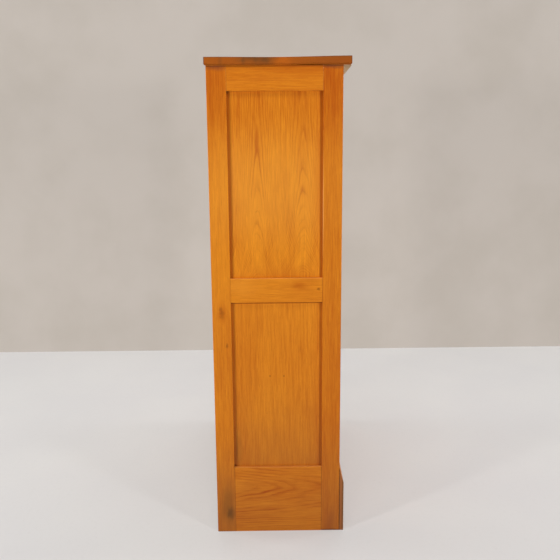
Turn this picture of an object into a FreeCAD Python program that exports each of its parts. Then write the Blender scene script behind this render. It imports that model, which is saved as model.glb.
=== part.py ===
import FreeCAD, Part
import math
import os

# A free-standing oak cabinet whose front is closed by a tambour, a curtain of wooden slats glued to canvas.
# The slats' ends run in a U-shaped track cut into both sides. To open, the tambour is pulled down: it turns
# under the bottom board and rises again behind a false back.
# Millimetres. +Z is up, the front faces -Y, and the origin is on the floor under the middle of the top board.

# Carcass
BODY_WIDTH = 960.0
BODY_HEIGHT = 1562.0
SIDE_DEPTH = 420.0
FRAME_THICK = 30.0
EDGE_ROUND = 2.0

# Frame-and-panel sides
STILE_WIDTH = 61.0
TOP_RAIL_HEIGHT = 76.0
MID_RAIL_HEIGHT = 80.0
BOTTOM_RAIL_HEIGHT = 240.0
LOWER_PANEL_HEIGHT = 579.0
PANEL_THICK = 10.0
PANEL_RECESS = 10.0
PANEL_TONGUE = 9.0
PANEL_PLAY = 0.5
TENON_LENGTH = 25.0
TENON_SHOULDER = 12.0
TENON_WIDEST = 120.0
TENON_GAP = 30.0
TENON_END_PLAY = 0.5

# Top board and the mouldings on the front
TOP_THICK = 26.0
TOP_FRONT_OVERHANG = 25.5
TOP_REAR_OVERHANG = 5.5
TOP_SIDE_OVERHANG = 8.0
TOP_EDGE_ROUND = 4.0
CORNICE_DEPTH = 24.0
CORNICE_HEIGHT = 29.0
CORNICE_NOSE = 3.0
CORNICE_FOOT = 2.0
PLINTH_THICK = 14.5
PLINTH_HEIGHT = 229.0
PLINTH_BEVEL = 50.0
PLINTH_TIP = 2.0
PLINTH_ROUND = 12.0

# Cross rails between the sides
CROSS_TENON_LENGTH = 14.0
CROSS_TENON_THICK = 8.0
HEAD_RAIL_HEIGHT = 75.0
HEAD_RAIL_THICK = 34.0
THRESHOLD_HEIGHT = 80.0
THRESHOLD_RISE = 7.0
THRESHOLD_CLEARANCE = 1.5
REAR_FRAME_THICK = 14.0
REAR_TOP_RAIL_HEIGHT = 72.0
REAR_BOTTOM_RAIL_HEIGHT = 70.0
REAR_RAIL_FOOT = 20.0
MUNTIN_WIDTH = 60.0
MUNTIN_TENON_LENGTH = 16.0
BACK_PANEL_THICK = 6.0
BACK_REBATE = 12.0
BACK_PANEL_PLAY = 0.4

# Track for the slats' ends
TRACK_FRONT_SETBACK = 24.0
TRACK_REAR_SETBACK = 30.0
TRACK_BASE_HEIGHT = 30.0
TRACK_BEND_RADIUS = 70.0
TRACK_REAR_TOP = 1000.0
TRACK_SIDE_PLAY = 0.3
TRACK_END_PLAY = 0.5

# Tambour
TONGUE_THICK = 8.0
TONGUE_LENGTH = 8.5
SHOULDER_PLAY = 1.0
SLAT_PITCH = 25.0
SLAT_GAP = 0.4
SLAT_EDGE_PROUD = 1.0
SLAT_CROWN = 3.0
CANVAS_THICK = 0.8
CANVAS_MARGIN = 10.0
CURTAIN_TAIL = 105.0
GRIP_SLATS = 4
GROUP_COUNT = 6
GRIP_HEIGHT = 60.0
GRIP_FRONT = 13.0
GRIP_BACK = 9.0
GRIP_ROUND = 3.0
CLOSING_GAP = 1.0

# Cup pulls
PULL_SPACING = 560.0
PULL_STRAIGHT = 50.0
PULL_RADIUS = 22.0
PULL_WALL = 1.6
PULL_DROP = 42.0
PULL_EAR_LENGTH = 12.0
PULL_EAR_HEIGHT = 16.0
PULL_HOLE_RADIUS = 2.0

# Lock in the grip rail
LOCK_WIDTH = 60.0
LOCK_HEIGHT = 42.0
LOCK_DEPTH = 12.0
LOCK_WALL = 1.2
HOOK_PIVOT_X = -16.0
HOOK_PIVOT_DROP = 20.0
HOOK_REACH = 32.0
HOOK_WIDTH = 8.0
HOOK_NOSE = 6.0
HOOK_NOSE_WIDTH = 8.0
HOOK_BOSS_RADIUS = 6.0
HOOK_THICK = 4.0
HOOK_PIN_RADIUS = 2.5
HOOK_PIN_PLAY = 0.05
HOOK_ROOM = 1.5
KEY_DROP = 33.0
KEY_SHANK_RADIUS = 2.5
KEY_PLAY = 0.2
KEY_BIT_REACH = 6.0
KEY_BIT_THICK = 2.4
KEY_BIT_WIDTH = 7.0
KEY_BOW_RADIUS = 11.0
KEY_BOW_EYE = 6.5
KEY_BOW_THICK = 3.4
KEY_BOW_STANDOFF = 20.0
KEY_COLLAR_RADIUS = 4.0
KEY_COLLAR_LENGTH = 3.0
KEYHOLE_RADIUS = 4.0
ESCUTCHEON_WIDTH = 20.0
ESCUTCHEON_HEIGHT = 36.0
ESCUTCHEON_THICK = 1.5
STRIKE_MARGIN = 14.0
STRIKE_THICK = 2.0
STRIKE_WIDTH = 14.0

# Inside
BOARD_THICK = 18.0
BOARD_STEP = 4.0
BOARD_SIDE_PLAY = 0.5
BOARD_FRONT_ROOM = 3.0
CLEAT_SECTION = 20.0
CLEAT_MARGIN = 10.0
FALSE_BACK_THICK = 6.0
FALSE_BACK_GAP = 19.0
FALSE_BACK_HOUSING = 5.0
FALSE_BACK_PLAY = 0.2
FALSE_BACK_DROP = 15.0
RACK_THICK = 10.0
RACK_WIDTH = 22.0
RACK_PITCH = 50.0
RACK_FIRST_LEDGE = 22.0
RACK_LEDGE = 10.0
RACK_NOTCH_HEIGHT = 16.0
RACK_SLOPE_HEIGHT = 18.0
RACK_FRONT_ROOM = 1.0
RACK_REAR_ROOM = 8.0
RACK_TOP_MARGIN = 50.0
BEARER_WIDTH = 22.0
BEARER_HEIGHT = 14.0
BEARER_PLAY = 0.4
SHELF_COUNT = 4
SHELF_FIRST_NOTCH = 4
SHELF_NOTCHES_APART = 5
SHELF_SIDE_PLAY = 1.0
SHELF_END_ROOM = 2.0
SHELF_ROUND = 3.0
TOP_BLOCK_SECTION = 25.0
TOP_BLOCK_LENGTH = 70.0
TOP_BLOCK_SPACING = 400.0
SIDE_BLOCK_SPACING = 140.0
PLINTH_BLOCK_SECTION = 12.0
PLINTH_BLOCK_FOOT = 15.0

TOUCH = 0.01

# Planes that several pieces share
LEFT_X = -BODY_WIDTH / 2
INNER_X = BODY_WIDTH / 2 - FRAME_THICK
TOP_DEPTH = TOP_FRONT_OVERHANG + SIDE_DEPTH + TOP_REAR_OVERHANG
FRONT_Y = -TOP_DEPTH / 2 + TOP_FRONT_OVERHANG
REAR_Y = FRONT_Y + SIDE_DEPTH
FRONT_STILE_EDGE = FRONT_Y + STILE_WIDTH
REAR_STILE_EDGE = REAR_Y - STILE_WIDTH
MID_RAIL_BOTTOM = BOTTOM_RAIL_HEIGHT + LOWER_PANEL_HEIGHT
SIDE_RAILS = {
    "top_rail": (BODY_HEIGHT - TOP_RAIL_HEIGHT, BODY_HEIGHT),
    "mid_rail": (MID_RAIL_BOTTOM, MID_RAIL_BOTTOM + MID_RAIL_HEIGHT),
    "bottom_rail": (0.0, BOTTOM_RAIL_HEIGHT),
}
SIDE_PANELS = {
    "upper_panel": (MID_RAIL_BOTTOM + MID_RAIL_HEIGHT, BODY_HEIGHT - TOP_RAIL_HEIGHT),
    "lower_panel": (BOTTOM_RAIL_HEIGHT, MID_RAIL_BOTTOM),
}
TRACK_FRONT_Y = FRONT_Y + TRACK_FRONT_SETBACK
TRACK_REAR_Y = REAR_Y - TRACK_REAR_SETBACK
SLAT_BACK_Y = TRACK_FRONT_Y + TONGUE_THICK / 2
SLAT_EDGE_Y = TRACK_FRONT_Y - TONGUE_THICK / 2 - SLAT_EDGE_PROUD
SLAT_FRONT_Y = SLAT_EDGE_Y - SLAT_CROWN
HEAD_BOTTOM = BODY_HEIGHT - HEAD_RAIL_HEIGHT
GRIP_TOP = HEAD_BOTTOM - CLOSING_GAP
GRIP_BOTTOM = GRIP_TOP - GRIP_HEIGHT
GRIP_FRONT_Y = TRACK_FRONT_Y - GRIP_FRONT
GRIP_BACK_Y = TRACK_FRONT_Y + GRIP_BACK
THRESHOLD_TOP = PLINTH_HEIGHT + THRESHOLD_RISE
THRESHOLD_BACK_Y = SLAT_FRONT_Y - THRESHOLD_CLEARANCE
REAR_FRAME_BACK_Y = REAR_Y - BACK_PANEL_THICK
BOARD_TOP = THRESHOLD_TOP - BOARD_STEP
BOARD_BOTTOM = BOARD_TOP - BOARD_THICK
BOARD_FRONT_Y = GRIP_BACK_Y + BOARD_FRONT_ROOM
FALSE_BACK_REAR_Y = TRACK_REAR_Y - FALSE_BACK_GAP
FALSE_BACK_FRONT_Y = FALSE_BACK_REAR_Y - FALSE_BACK_THICK
FALSE_BACK_BOTTOM = BOARD_BOTTOM - FALSE_BACK_DROP
FRONT_RACK_Y = BOARD_FRONT_Y + RACK_FRONT_ROOM
FRONT_RACK_EDGE = FRONT_RACK_Y + RACK_WIDTH
REAR_RACK_EDGE = FALSE_BACK_FRONT_Y - RACK_REAR_ROOM - RACK_WIDTH
HOOK_PIVOT_Z = GRIP_TOP - HOOK_PIVOT_DROP
HOOK_SWEEP = math.hypot(HOOK_REACH, HOOK_WIDTH / 2 + HOOK_NOSE)
HOOK_MID_Y = GRIP_BACK_Y - LOCK_DEPTH / 2
KEY_Z = GRIP_TOP - KEY_DROP


def point(x, y, z):
    return FreeCAD.Vector(x, y, z)


def block(x0, x1, y0, y1, z0, z1):
    """A box between two limits on each axis."""
    return Part.makeBox(x1 - x0, y1 - y0, z1 - z0, point(x0, y0, z0))


def rod(radius, y0, y1, x, z):
    """A cylinder along Y."""
    return Part.makeCylinder(radius, y1 - y0, point(x, y0, z), point(0, 1, 0))


def extrude_outline(corners, direction):
    """A straight-sided outline pushed along a vector."""
    return Part.Face(Part.makePolygon(corners + corners[:1])).extrude(direction)


def edges_along(shape, axis, **at):
    """The straight edges parallel to one axis that pass through the given coordinates."""
    found = []
    for edge in shape.Edges:
        box = edge.BoundBox
        spans = {"x": box.XLength, "y": box.YLength, "z": box.ZLength}
        middle = {"x": box.Center.x, "y": box.Center.y, "z": box.Center.z}
        straight = all(spans[other] < TOUCH for other in "xyz" if other != axis)
        if straight and all(abs(middle[name] - value) < TOUCH for name, value in at.items()):
            found.append(edge)
    return found


def mirrored(shape):
    """The same piece for the right side."""
    return shape.mirror(point(0, 0, 0), point(1, 0, 0))


def both_sides(shape):
    """A left piece and its mirror image as two solids."""
    return [shape, mirrored(shape)]


def side_slab(depth0, depth1, y0, y1, z0, z1):
    """A block in the left side, with its depth measured inward from the outer face."""
    return block(LEFT_X + depth0, LEFT_X + depth1, y0, y1, z0, z1)


def tenon_spans(low, high):
    """Heights of a rail's tenons. A wide rail has two, so that the stile isn't cut in half."""
    low += TENON_SHOULDER
    high -= TENON_SHOULDER
    if high - low <= TENON_WIDEST:
        return [(low, high)]
    middle = (low + high) / 2
    return [(low, middle - TENON_GAP / 2), (middle + TENON_GAP / 2, high)]


def side_tenons(length):
    """Tenons of all side rails at both stiles, in the plane of the panels."""
    inner = PANEL_RECESS + PANEL_THICK
    tenons = {}
    for name, (low, high) in SIDE_RAILS.items():
        spans = tenon_spans(low, high)
        front = [side_slab(PANEL_RECESS, inner, FRONT_STILE_EDGE - length, FRONT_STILE_EDGE, *s) for s in spans]
        rear = [side_slab(PANEL_RECESS, inner, REAR_STILE_EDGE, REAR_STILE_EDGE + length, *s) for s in spans]
        tenons[name] = front + rear
    return tenons


def panel_room(play):
    """Each panel's space in the side, as deep as its grooves less the given play."""
    reach = PANEL_TONGUE + PANEL_PLAY - play
    rooms = {}
    for name, (low, high) in SIDE_PANELS.items():
        y0 = FRONT_STILE_EDGE - reach
        y1 = REAR_STILE_EDGE + reach
        rooms[name] = side_slab(PANEL_RECESS, PANEL_RECESS + PANEL_THICK, y0, y1, low - reach, high + reach)
    return rooms


def track_cut():
    """The U-shaped groove in the left side's inner face: down the front, along the base and up the back."""
    half = TONGUE_THICK / 2 + TRACK_SIDE_PLAY
    turn_z = TRACK_BASE_HEIGHT + TRACK_BEND_RADIUS
    front_turn = point(0, TRACK_FRONT_Y + TRACK_BEND_RADIUS, turn_z)
    rear_turn = point(0, TRACK_REAR_Y - TRACK_BEND_RADIUS, turn_z)
    diagonal = math.sqrt(0.5)

    def quarter(centre, side, radius):
        """A bend from the upright to the base run. side is -1 at the front and 1 at the back."""
        start = centre + point(0, side * radius, 0)
        middle = centre + point(0, side * radius * diagonal, -radius * diagonal)
        return start, Part.Arc(start, middle, centre + point(0, 0, -radius)), centre + point(0, 0, -radius)

    def run(offset):
        """One wall of the groove, from the front's top to the back's top."""
        radius = TRACK_BEND_RADIUS + offset
        front_top = point(0, TRACK_FRONT_Y - offset, HEAD_BOTTOM)
        rear_top = point(0, TRACK_REAR_Y + offset, TRACK_REAR_TOP)
        front_start, front_arc, front_end = quarter(front_turn, -1, radius)
        rear_start, rear_arc, rear_end = quarter(rear_turn, 1, radius)
        curves = [
            Part.LineSegment(front_top, front_start),
            front_arc,
            Part.LineSegment(front_end, rear_end),
            rear_arc,
            Part.LineSegment(rear_start, rear_top),
        ]
        return front_top, [curve.toShape() for curve in curves], rear_top

    outer_front, outer_edges, outer_rear = run(half)
    inner_front, inner_edges, inner_rear = run(-half)
    ends = [Part.makeLine(outer_front, inner_front), Part.makeLine(outer_rear, inner_rear)]
    wire = Part.Wire(Part.__sortEdges__(outer_edges + inner_edges + ends))
    depth = TONGUE_LENGTH + TRACK_END_PLAY
    groove = Part.Face(wire).extrude(point(depth, 0, 0))
    groove.translate(point(-INNER_X - depth, 0, 0))
    return groove


def cross_rail(y0, y1, z0, z1):
    """A rail from side to side with a tenon at each end, and the two mortises it needs."""
    mid_y = (y0 + y1) / 2
    tenon_y = (mid_y - CROSS_TENON_THICK / 2, mid_y + CROSS_TENON_THICK / 2)
    tenon_z = (z0 + TENON_SHOULDER, z1 - TENON_SHOULDER)
    reach = INNER_X + CROSS_TENON_LENGTH
    rail = block(-INNER_X, INNER_X, y0, y1, z0, z1).fuse(block(-reach, reach, *tenon_y, *tenon_z))
    room = reach + TENON_END_PLAY
    return rail.removeSplitter(), block(-room, room, *tenon_y, *tenon_z)


def make_cross_rails():
    """Head rail and threshold at the front, the two rear rails, and the cuts for their tenons."""
    rear_y = (REAR_FRAME_BACK_Y - REAR_FRAME_THICK, REAR_FRAME_BACK_Y)
    places = {
        "head_rail": (FRONT_Y, FRONT_Y + HEAD_RAIL_THICK, HEAD_BOTTOM, BODY_HEIGHT),
        "threshold_rail": (FRONT_Y, THRESHOLD_BACK_Y, THRESHOLD_TOP - THRESHOLD_HEIGHT, THRESHOLD_TOP),
        "rear_top_rail": (*rear_y, BODY_HEIGHT - REAR_TOP_RAIL_HEIGHT, BODY_HEIGHT),
        "rear_bottom_rail": (*rear_y, REAR_RAIL_FOOT, REAR_RAIL_FOOT + REAR_BOTTOM_RAIL_HEIGHT),
    }
    rails = {}
    mortises = []
    for name, place in places.items():
        rails[name], mortise = cross_rail(*place)
        mortises.append(mortise)
    return rails, mortises


def make_left_side(cross_mortises):
    """Stiles, rails and panels of the left side, with their joints, the track and the housings cut in."""
    track = track_cut()
    grooves = list(panel_room(0.0).values())
    mortises = [m for group in side_tenons(TENON_LENGTH + TENON_END_PLAY).values() for m in group]
    rebate = side_slab(FRAME_THICK - BACK_REBATE, FRAME_THICK, REAR_FRAME_BACK_Y, REAR_Y, 0, BODY_HEIGHT)
    housing = side_slab(
        FRAME_THICK - FALSE_BACK_HOUSING - FALSE_BACK_PLAY,
        FRAME_THICK,
        FALSE_BACK_FRONT_Y,
        FALSE_BACK_REAR_Y,
        FALSE_BACK_BOTTOM,
        BODY_HEIGHT,
    )
    pieces = {}

    front = side_slab(0, FRAME_THICK, FRONT_Y, FRONT_STILE_EDGE, 0, BODY_HEIGHT)
    front = front.makeFillet(EDGE_ROUND, edges_along(front, "z", y=FRONT_Y))
    pieces["front_stile"] = front.cut(grooves + mortises + cross_mortises + [track])

    rear = side_slab(0, FRAME_THICK, REAR_STILE_EDGE, REAR_Y, 0, BODY_HEIGHT)
    rear = rear.makeFillet(EDGE_ROUND, edges_along(rear, "z", x=LEFT_X, y=REAR_Y))
    pieces["rear_stile"] = rear.cut(grooves + mortises + cross_mortises + [track, rebate, housing])

    tenons = side_tenons(TENON_LENGTH)
    for name, (low, high) in SIDE_RAILS.items():
        rail = side_slab(0, FRAME_THICK, FRONT_STILE_EDGE, REAR_STILE_EDGE, low, high)
        pieces[name] = rail.cut(grooves + [track]).fuse(tenons[name]).removeSplitter()

    pieces.update(panel_room(PANEL_PLAY))
    return pieces


def make_top_board():
    """The top with all its edges rounded over."""
    half_width = BODY_WIDTH / 2 + TOP_SIDE_OVERHANG
    half_depth = TOP_DEPTH / 2
    top = block(-half_width, half_width, -half_depth, half_depth, BODY_HEIGHT, BODY_HEIGHT + TOP_THICK)
    return top.makeFillet(TOP_EDGE_ROUND, top.Edges)


def make_cornice():
    """The bevelled moulding that fills the corner under the front of the top."""
    corners = [
        point(LEFT_X, FRONT_Y, BODY_HEIGHT),
        point(LEFT_X, FRONT_Y - CORNICE_DEPTH, BODY_HEIGHT),
        point(LEFT_X, FRONT_Y - CORNICE_DEPTH, BODY_HEIGHT - CORNICE_NOSE),
        point(LEFT_X, FRONT_Y - CORNICE_FOOT, BODY_HEIGHT - CORNICE_HEIGHT),
        point(LEFT_X, FRONT_Y, BODY_HEIGHT - CORNICE_HEIGHT),
    ]
    return extrude_outline(corners, point(BODY_WIDTH, 0, 0))


def make_plinth():
    """The skirting board on the front of the base, with a long bevel at its top."""
    face_y = FRONT_Y - PLINTH_THICK
    bevel_z = PLINTH_HEIGHT - PLINTH_BEVEL
    corners = [
        point(LEFT_X, FRONT_Y, 0),
        point(LEFT_X, face_y, 0),
        point(LEFT_X, face_y, bevel_z),
        point(LEFT_X, FRONT_Y - PLINTH_TIP, PLINTH_HEIGHT),
        point(LEFT_X, FRONT_Y, PLINTH_HEIGHT),
    ]
    board = extrude_outline(corners, point(BODY_WIDTH, 0, 0))
    return board.makeFillet(PLINTH_ROUND, edges_along(board, "x", y=face_y, z=bevel_z))


def make_plinth_blocks():
    """Three-cornered glue blocks between the plinth and the stiles, under the threshold."""
    corners = [
        point(-INNER_X, FRONT_Y, PLINTH_BLOCK_FOOT),
        point(-INNER_X + PLINTH_BLOCK_SECTION, FRONT_Y, PLINTH_BLOCK_FOOT),
        point(-INNER_X, FRONT_Y + PLINTH_BLOCK_SECTION, PLINTH_BLOCK_FOOT),
    ]
    height = THRESHOLD_TOP - THRESHOLD_HEIGHT - PLINTH_BLOCK_FOOT
    return both_sides(extrude_outline(corners, point(0, 0, height)))


def make_top_blocks():
    """Three-cornered glue blocks under the top, behind the head rail and along the sides."""
    head_y = FRONT_Y + HEAD_RAIL_THICK
    low = BODY_HEIGHT - TOP_BLOCK_SECTION
    half = TOP_BLOCK_LENGTH / 2
    front_x = -TOP_BLOCK_SPACING / 2
    front = [
        point(front_x - half, head_y, BODY_HEIGHT),
        point(front_x - half, head_y + TOP_BLOCK_SECTION, BODY_HEIGHT),
        point(front_x - half, head_y, low),
    ]
    blocks = both_sides(extrude_outline(front, point(TOP_BLOCK_LENGTH, 0, 0)))
    middle_y = (FRONT_STILE_EDGE + REAR_STILE_EDGE) / 2
    for middle in (middle_y - SIDE_BLOCK_SPACING / 2, middle_y + SIDE_BLOCK_SPACING / 2):
        side = [
            point(-INNER_X, middle - half, BODY_HEIGHT),
            point(-INNER_X + TOP_BLOCK_SECTION, middle - half, BODY_HEIGHT),
            point(-INNER_X, middle - half, low),
        ]
        blocks += both_sides(extrude_outline(side, point(0, TOP_BLOCK_LENGTH, 0)))
    return blocks


def make_back(rear_rails):
    """The muntin, tenoned into the rear rails, and the two panels of the back."""
    y0 = REAR_FRAME_BACK_Y - REAR_FRAME_THICK
    low = REAR_RAIL_FOOT + REAR_BOTTOM_RAIL_HEIGHT
    high = BODY_HEIGHT - REAR_TOP_RAIL_HEIGHT
    half = MUNTIN_WIDTH / 2
    tenon_y = y0 + (REAR_FRAME_THICK - CROSS_TENON_THICK) / 2
    tenon_x = half - TENON_SHOULDER

    def tenon(length):
        return block(-tenon_x, tenon_x, tenon_y, tenon_y + CROSS_TENON_THICK, low - length, high + length)

    muntin = block(-half, half, y0, REAR_FRAME_BACK_Y, low, high).fuse(tenon(MUNTIN_TENON_LENGTH))
    mortise = tenon(MUNTIN_TENON_LENGTH + TENON_END_PLAY)
    pieces = {name: rail.cut(mortise) for name, rail in rear_rails.items()}
    pieces["back_muntin"] = muntin.removeSplitter()
    outer_x = INNER_X + BACK_REBATE - BACK_PANEL_PLAY
    panel = block(-outer_x, -BACK_PANEL_PLAY / 2, REAR_FRAME_BACK_Y, REAR_Y, REAR_RAIL_FOOT, BODY_HEIGHT)
    pieces["back_panel_left"] = panel
    pieces["back_panel_right"] = mirrored(panel)
    return pieces


def make_bottom():
    """The bottom board, the cleats that carry it and the false back that stands behind it."""
    half = INNER_X - BOARD_SIDE_PLAY
    board = block(-half, half, BOARD_FRONT_Y, FALSE_BACK_FRONT_Y, BOARD_BOTTOM, BOARD_TOP)
    cleat = block(
        -INNER_X,
        -INNER_X + CLEAT_SECTION,
        FRONT_STILE_EDGE + CLEAT_MARGIN,
        REAR_STILE_EDGE - CLEAT_MARGIN,
        BOARD_BOTTOM - CLEAT_SECTION,
        BOARD_BOTTOM,
    )
    reach = INNER_X + FALSE_BACK_HOUSING
    false_back = block(-reach, reach, FALSE_BACK_FRONT_Y, FALSE_BACK_REAR_Y, FALSE_BACK_BOTTOM, BODY_HEIGHT)
    return {
        "bottom_board": board,
        "bottom_cleats": Part.makeCompound(both_sides(cleat)),
        "false_back": false_back,
    }


def ledge_heights():
    """Heights of the ledges in the shelf racks."""
    first = BOARD_TOP + RACK_FIRST_LEDGE
    room = BODY_HEIGHT - RACK_TOP_MARGIN - RACK_NOTCH_HEIGHT - RACK_SLOPE_HEIGHT - first
    return [first + RACK_PITCH * step for step in range(int(room // RACK_PITCH) + 1)]


def rack(back_y, edge_y):
    """A strip with saw-tooth notches in one edge. Each notch has a flat ledge under a sloping mouth."""
    deep_y = edge_y + math.copysign(RACK_LEDGE, back_y - edge_y)
    x = -INNER_X
    top = BODY_HEIGHT - RACK_TOP_MARGIN
    corners = [point(x, back_y, BOARD_TOP), point(x, edge_y, BOARD_TOP)]
    for ledge in ledge_heights():
        corners.append(point(x, edge_y, ledge))
        corners.append(point(x, deep_y, ledge))
        corners.append(point(x, deep_y, ledge + RACK_NOTCH_HEIGHT))
        corners.append(point(x, edge_y, ledge + RACK_NOTCH_HEIGHT + RACK_SLOPE_HEIGHT))
    corners += [point(x, edge_y, top), point(x, back_y, top)]
    return extrude_outline(corners, point(RACK_THICK, 0, 0))


def make_shelves():
    """Four notched racks, and shelves on bearers whose ends lie in the notches."""
    racks = both_sides(rack(FRONT_RACK_Y, FRONT_RACK_EDGE))
    racks += both_sides(rack(REAR_RACK_EDGE + RACK_WIDTH, REAR_RACK_EDGE))
    pieces = {"shelf_racks": Part.makeCompound(racks)}
    bearers = []
    ledges = ledge_heights()
    half = INNER_X - RACK_THICK - SHELF_SIDE_PLAY
    front = BOARD_FRONT_Y + SHELF_END_ROOM
    rear = FALSE_BACK_FRONT_Y - SHELF_END_ROOM
    for number in range(SHELF_COUNT):
        ledge = ledges[SHELF_FIRST_NOTCH + SHELF_NOTCHES_APART * number]
        seat = ledge + BEARER_HEIGHT
        bearer = block(
            -INNER_X + BEARER_PLAY,
            -INNER_X + BEARER_WIDTH,
            FRONT_RACK_EDGE - RACK_LEDGE + BEARER_PLAY,
            REAR_RACK_EDGE + RACK_LEDGE - BEARER_PLAY,
            ledge,
            seat,
        )
        bearers += both_sides(bearer)
        shelf = block(-half, half, front, rear, seat, seat + BOARD_THICK)
        pieces[f"shelf_{number + 1}"] = shelf.makeFillet(SHELF_ROUND, edges_along(shelf, "x", y=front))
    pieces["shelf_bearers"] = Part.makeCompound(bearers)
    return pieces


def make_slat(top):
    """One slat: a domed front, a flat back and a thinner tongue at each end."""
    bottom = top - SLAT_PITCH + SLAT_GAP
    reach = INNER_X + TONGUE_LENGTH
    shoulder = INNER_X - SHOULDER_PLAY
    corners = [
        point(-reach, SLAT_EDGE_Y, bottom),
        point(-reach, SLAT_BACK_Y, bottom),
        point(-reach, SLAT_BACK_Y, top),
        point(-reach, SLAT_EDGE_Y, top),
    ]
    crown = Part.Arc(corners[3], point(-reach, SLAT_FRONT_Y, (bottom + top) / 2), corners[0]).toShape()
    profile = Part.Wire(Part.makePolygon(corners).Edges + [crown])
    slat = Part.Face(profile).extrude(point(2 * reach, 0, 0))
    tongue_front = TRACK_FRONT_Y - TONGUE_THICK / 2
    waste = block(-reach, -shoulder, SLAT_FRONT_Y, tongue_front, bottom, top)
    return slat.cut(both_sides(waste))


def canvas_strip(top, count):
    """The canvas glued on the backs of some slats."""
    half = INNER_X - CANVAS_MARGIN
    bottom = top - SLAT_PITCH * count + SLAT_GAP
    return block(-half, half, SLAT_BACK_Y, SLAT_BACK_Y + CANVAS_THICK, bottom, top)


def make_curtain():
    """The slats and canvas, in the stretch that stays by the grip rail and the groups below it."""
    needed = (GRIP_BOTTOM - THRESHOLD_TOP + CURTAIN_TAIL) / SLAT_PITCH - GRIP_SLATS
    group_slats = math.ceil(needed / GROUP_COUNT)
    stretches = [("grip", GRIP_SLATS)]
    stretches += [(f"group_{number + 1}", group_slats) for number in range(GROUP_COUNT)]
    first_slat = make_slat(GRIP_BOTTOM - SLAT_GAP)
    pieces = {}
    placed = 0
    for name, count in stretches:
        slats = [first_slat.translated(point(0, 0, -SLAT_PITCH * (placed + step))) for step in range(count)]
        pieces[f"{name}_slats"] = Part.makeCompound(slats)
        pieces[f"{name}_canvas"] = canvas_strip(GRIP_BOTTOM - SLAT_GAP - SLAT_PITCH * placed, count)
        placed += count
    return pieces


def keyhole(y0, y1, radius):
    """A round hole with a slot below it for the key's bit."""
    slot_half = KEY_BIT_THICK / 2 + KEY_PLAY
    slot = block(-slot_half, slot_half, y0, y1, KEY_Z - KEY_BIT_REACH - KEY_PLAY, KEY_Z)
    return rod(radius, y0, y1, 0, KEY_Z).fuse(slot)


def make_grip_rail():
    """The rail that leads the tambour, with its tongues, the lock's mortise and the keyhole."""
    shoulder = INNER_X - SHOULDER_PLAY
    reach = INNER_X + TONGUE_LENGTH
    half_tongue = TONGUE_THICK / 2
    body = block(-shoulder, shoulder, GRIP_FRONT_Y, GRIP_BACK_Y, GRIP_BOTTOM, GRIP_TOP)
    body = body.makeFillet(GRIP_ROUND, edges_along(body, "x", y=GRIP_FRONT_Y))
    tongue_y = (TRACK_FRONT_Y - half_tongue, TRACK_FRONT_Y + half_tongue)
    rail = body.fuse(block(-reach, reach, *tongue_y, GRIP_BOTTOM, GRIP_TOP)).removeSplitter()
    half_lock = LOCK_WIDTH / 2
    lock_front = GRIP_BACK_Y - LOCK_DEPTH
    mortise = block(-half_lock, half_lock, lock_front, GRIP_BACK_Y, GRIP_TOP - LOCK_HEIGHT, GRIP_TOP)
    return rail.cut([mortise, keyhole(GRIP_FRONT_Y, lock_front, KEYHOLE_RADIUS)])


def hook_slot_end(drop):
    """How far right of the pivot the swinging hook reaches, at a height above the pivot."""
    return HOOK_PIVOT_X + math.sqrt(HOOK_SWEEP**2 - drop**2) + HOOK_ROOM


def make_lock():
    """The lock's case with its pivot pin, and the hook that swings on it. Unlocked, the hook lies in the case."""
    half = LOCK_WIDTH / 2
    y0 = GRIP_BACK_Y - LOCK_DEPTH
    bottom = GRIP_TOP - LOCK_HEIGHT
    case = block(-half, half, y0, GRIP_BACK_Y, bottom, GRIP_TOP)
    inside = block(
        -half + LOCK_WALL,
        half - LOCK_WALL,
        y0 + LOCK_WALL,
        GRIP_BACK_Y - LOCK_WALL,
        bottom + LOCK_WALL,
        GRIP_TOP - LOCK_WALL,
    )
    half_slot = HOOK_THICK / 2 + HOOK_ROOM / 2
    slot = block(
        HOOK_PIVOT_X - HOOK_WIDTH / 2 - HOOK_NOSE - HOOK_ROOM,
        hook_slot_end(HOOK_PIVOT_DROP - LOCK_WALL),
        HOOK_MID_Y - half_slot,
        HOOK_MID_Y + half_slot,
        GRIP_TOP - LOCK_WALL,
        GRIP_TOP,
    )
    pin = rod(HOOK_PIN_RADIUS, y0, GRIP_BACK_Y, HOOK_PIVOT_X, HOOK_PIVOT_Z)
    key_hole = keyhole(y0, y0 + LOCK_WALL, KEY_SHANK_RADIUS + KEY_PLAY)
    case = case.cut([inside, slot, key_hole]).fuse(pin).removeSplitter()

    y1 = HOOK_MID_Y - HOOK_THICK / 2
    low = -HOOK_WIDTH / 2
    high = HOOK_WIDTH / 2
    nose_start = HOOK_REACH - HOOK_NOSE_WIDTH
    outline = [
        (0, low),
        (HOOK_REACH, low),
        (HOOK_REACH, high + HOOK_NOSE),
        (nose_start, high + HOOK_NOSE),
        (nose_start, high),
        (0, high),
    ]
    corners = [point(HOOK_PIVOT_X + along, y1, HOOK_PIVOT_Z + up) for along, up in outline]
    arm = extrude_outline(corners, point(0, HOOK_THICK, 0))
    boss = rod(HOOK_BOSS_RADIUS, y1, y1 + HOOK_THICK, HOOK_PIVOT_X, HOOK_PIVOT_Z)
    bore = rod(HOOK_PIN_RADIUS + HOOK_PIN_PLAY, y1, y1 + HOOK_THICK, HOOK_PIVOT_X, HOOK_PIVOT_Z)
    return {"lock_case": case, "lock_hook": arm.fuse(boss).cut(bore).removeSplitter()}


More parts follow.
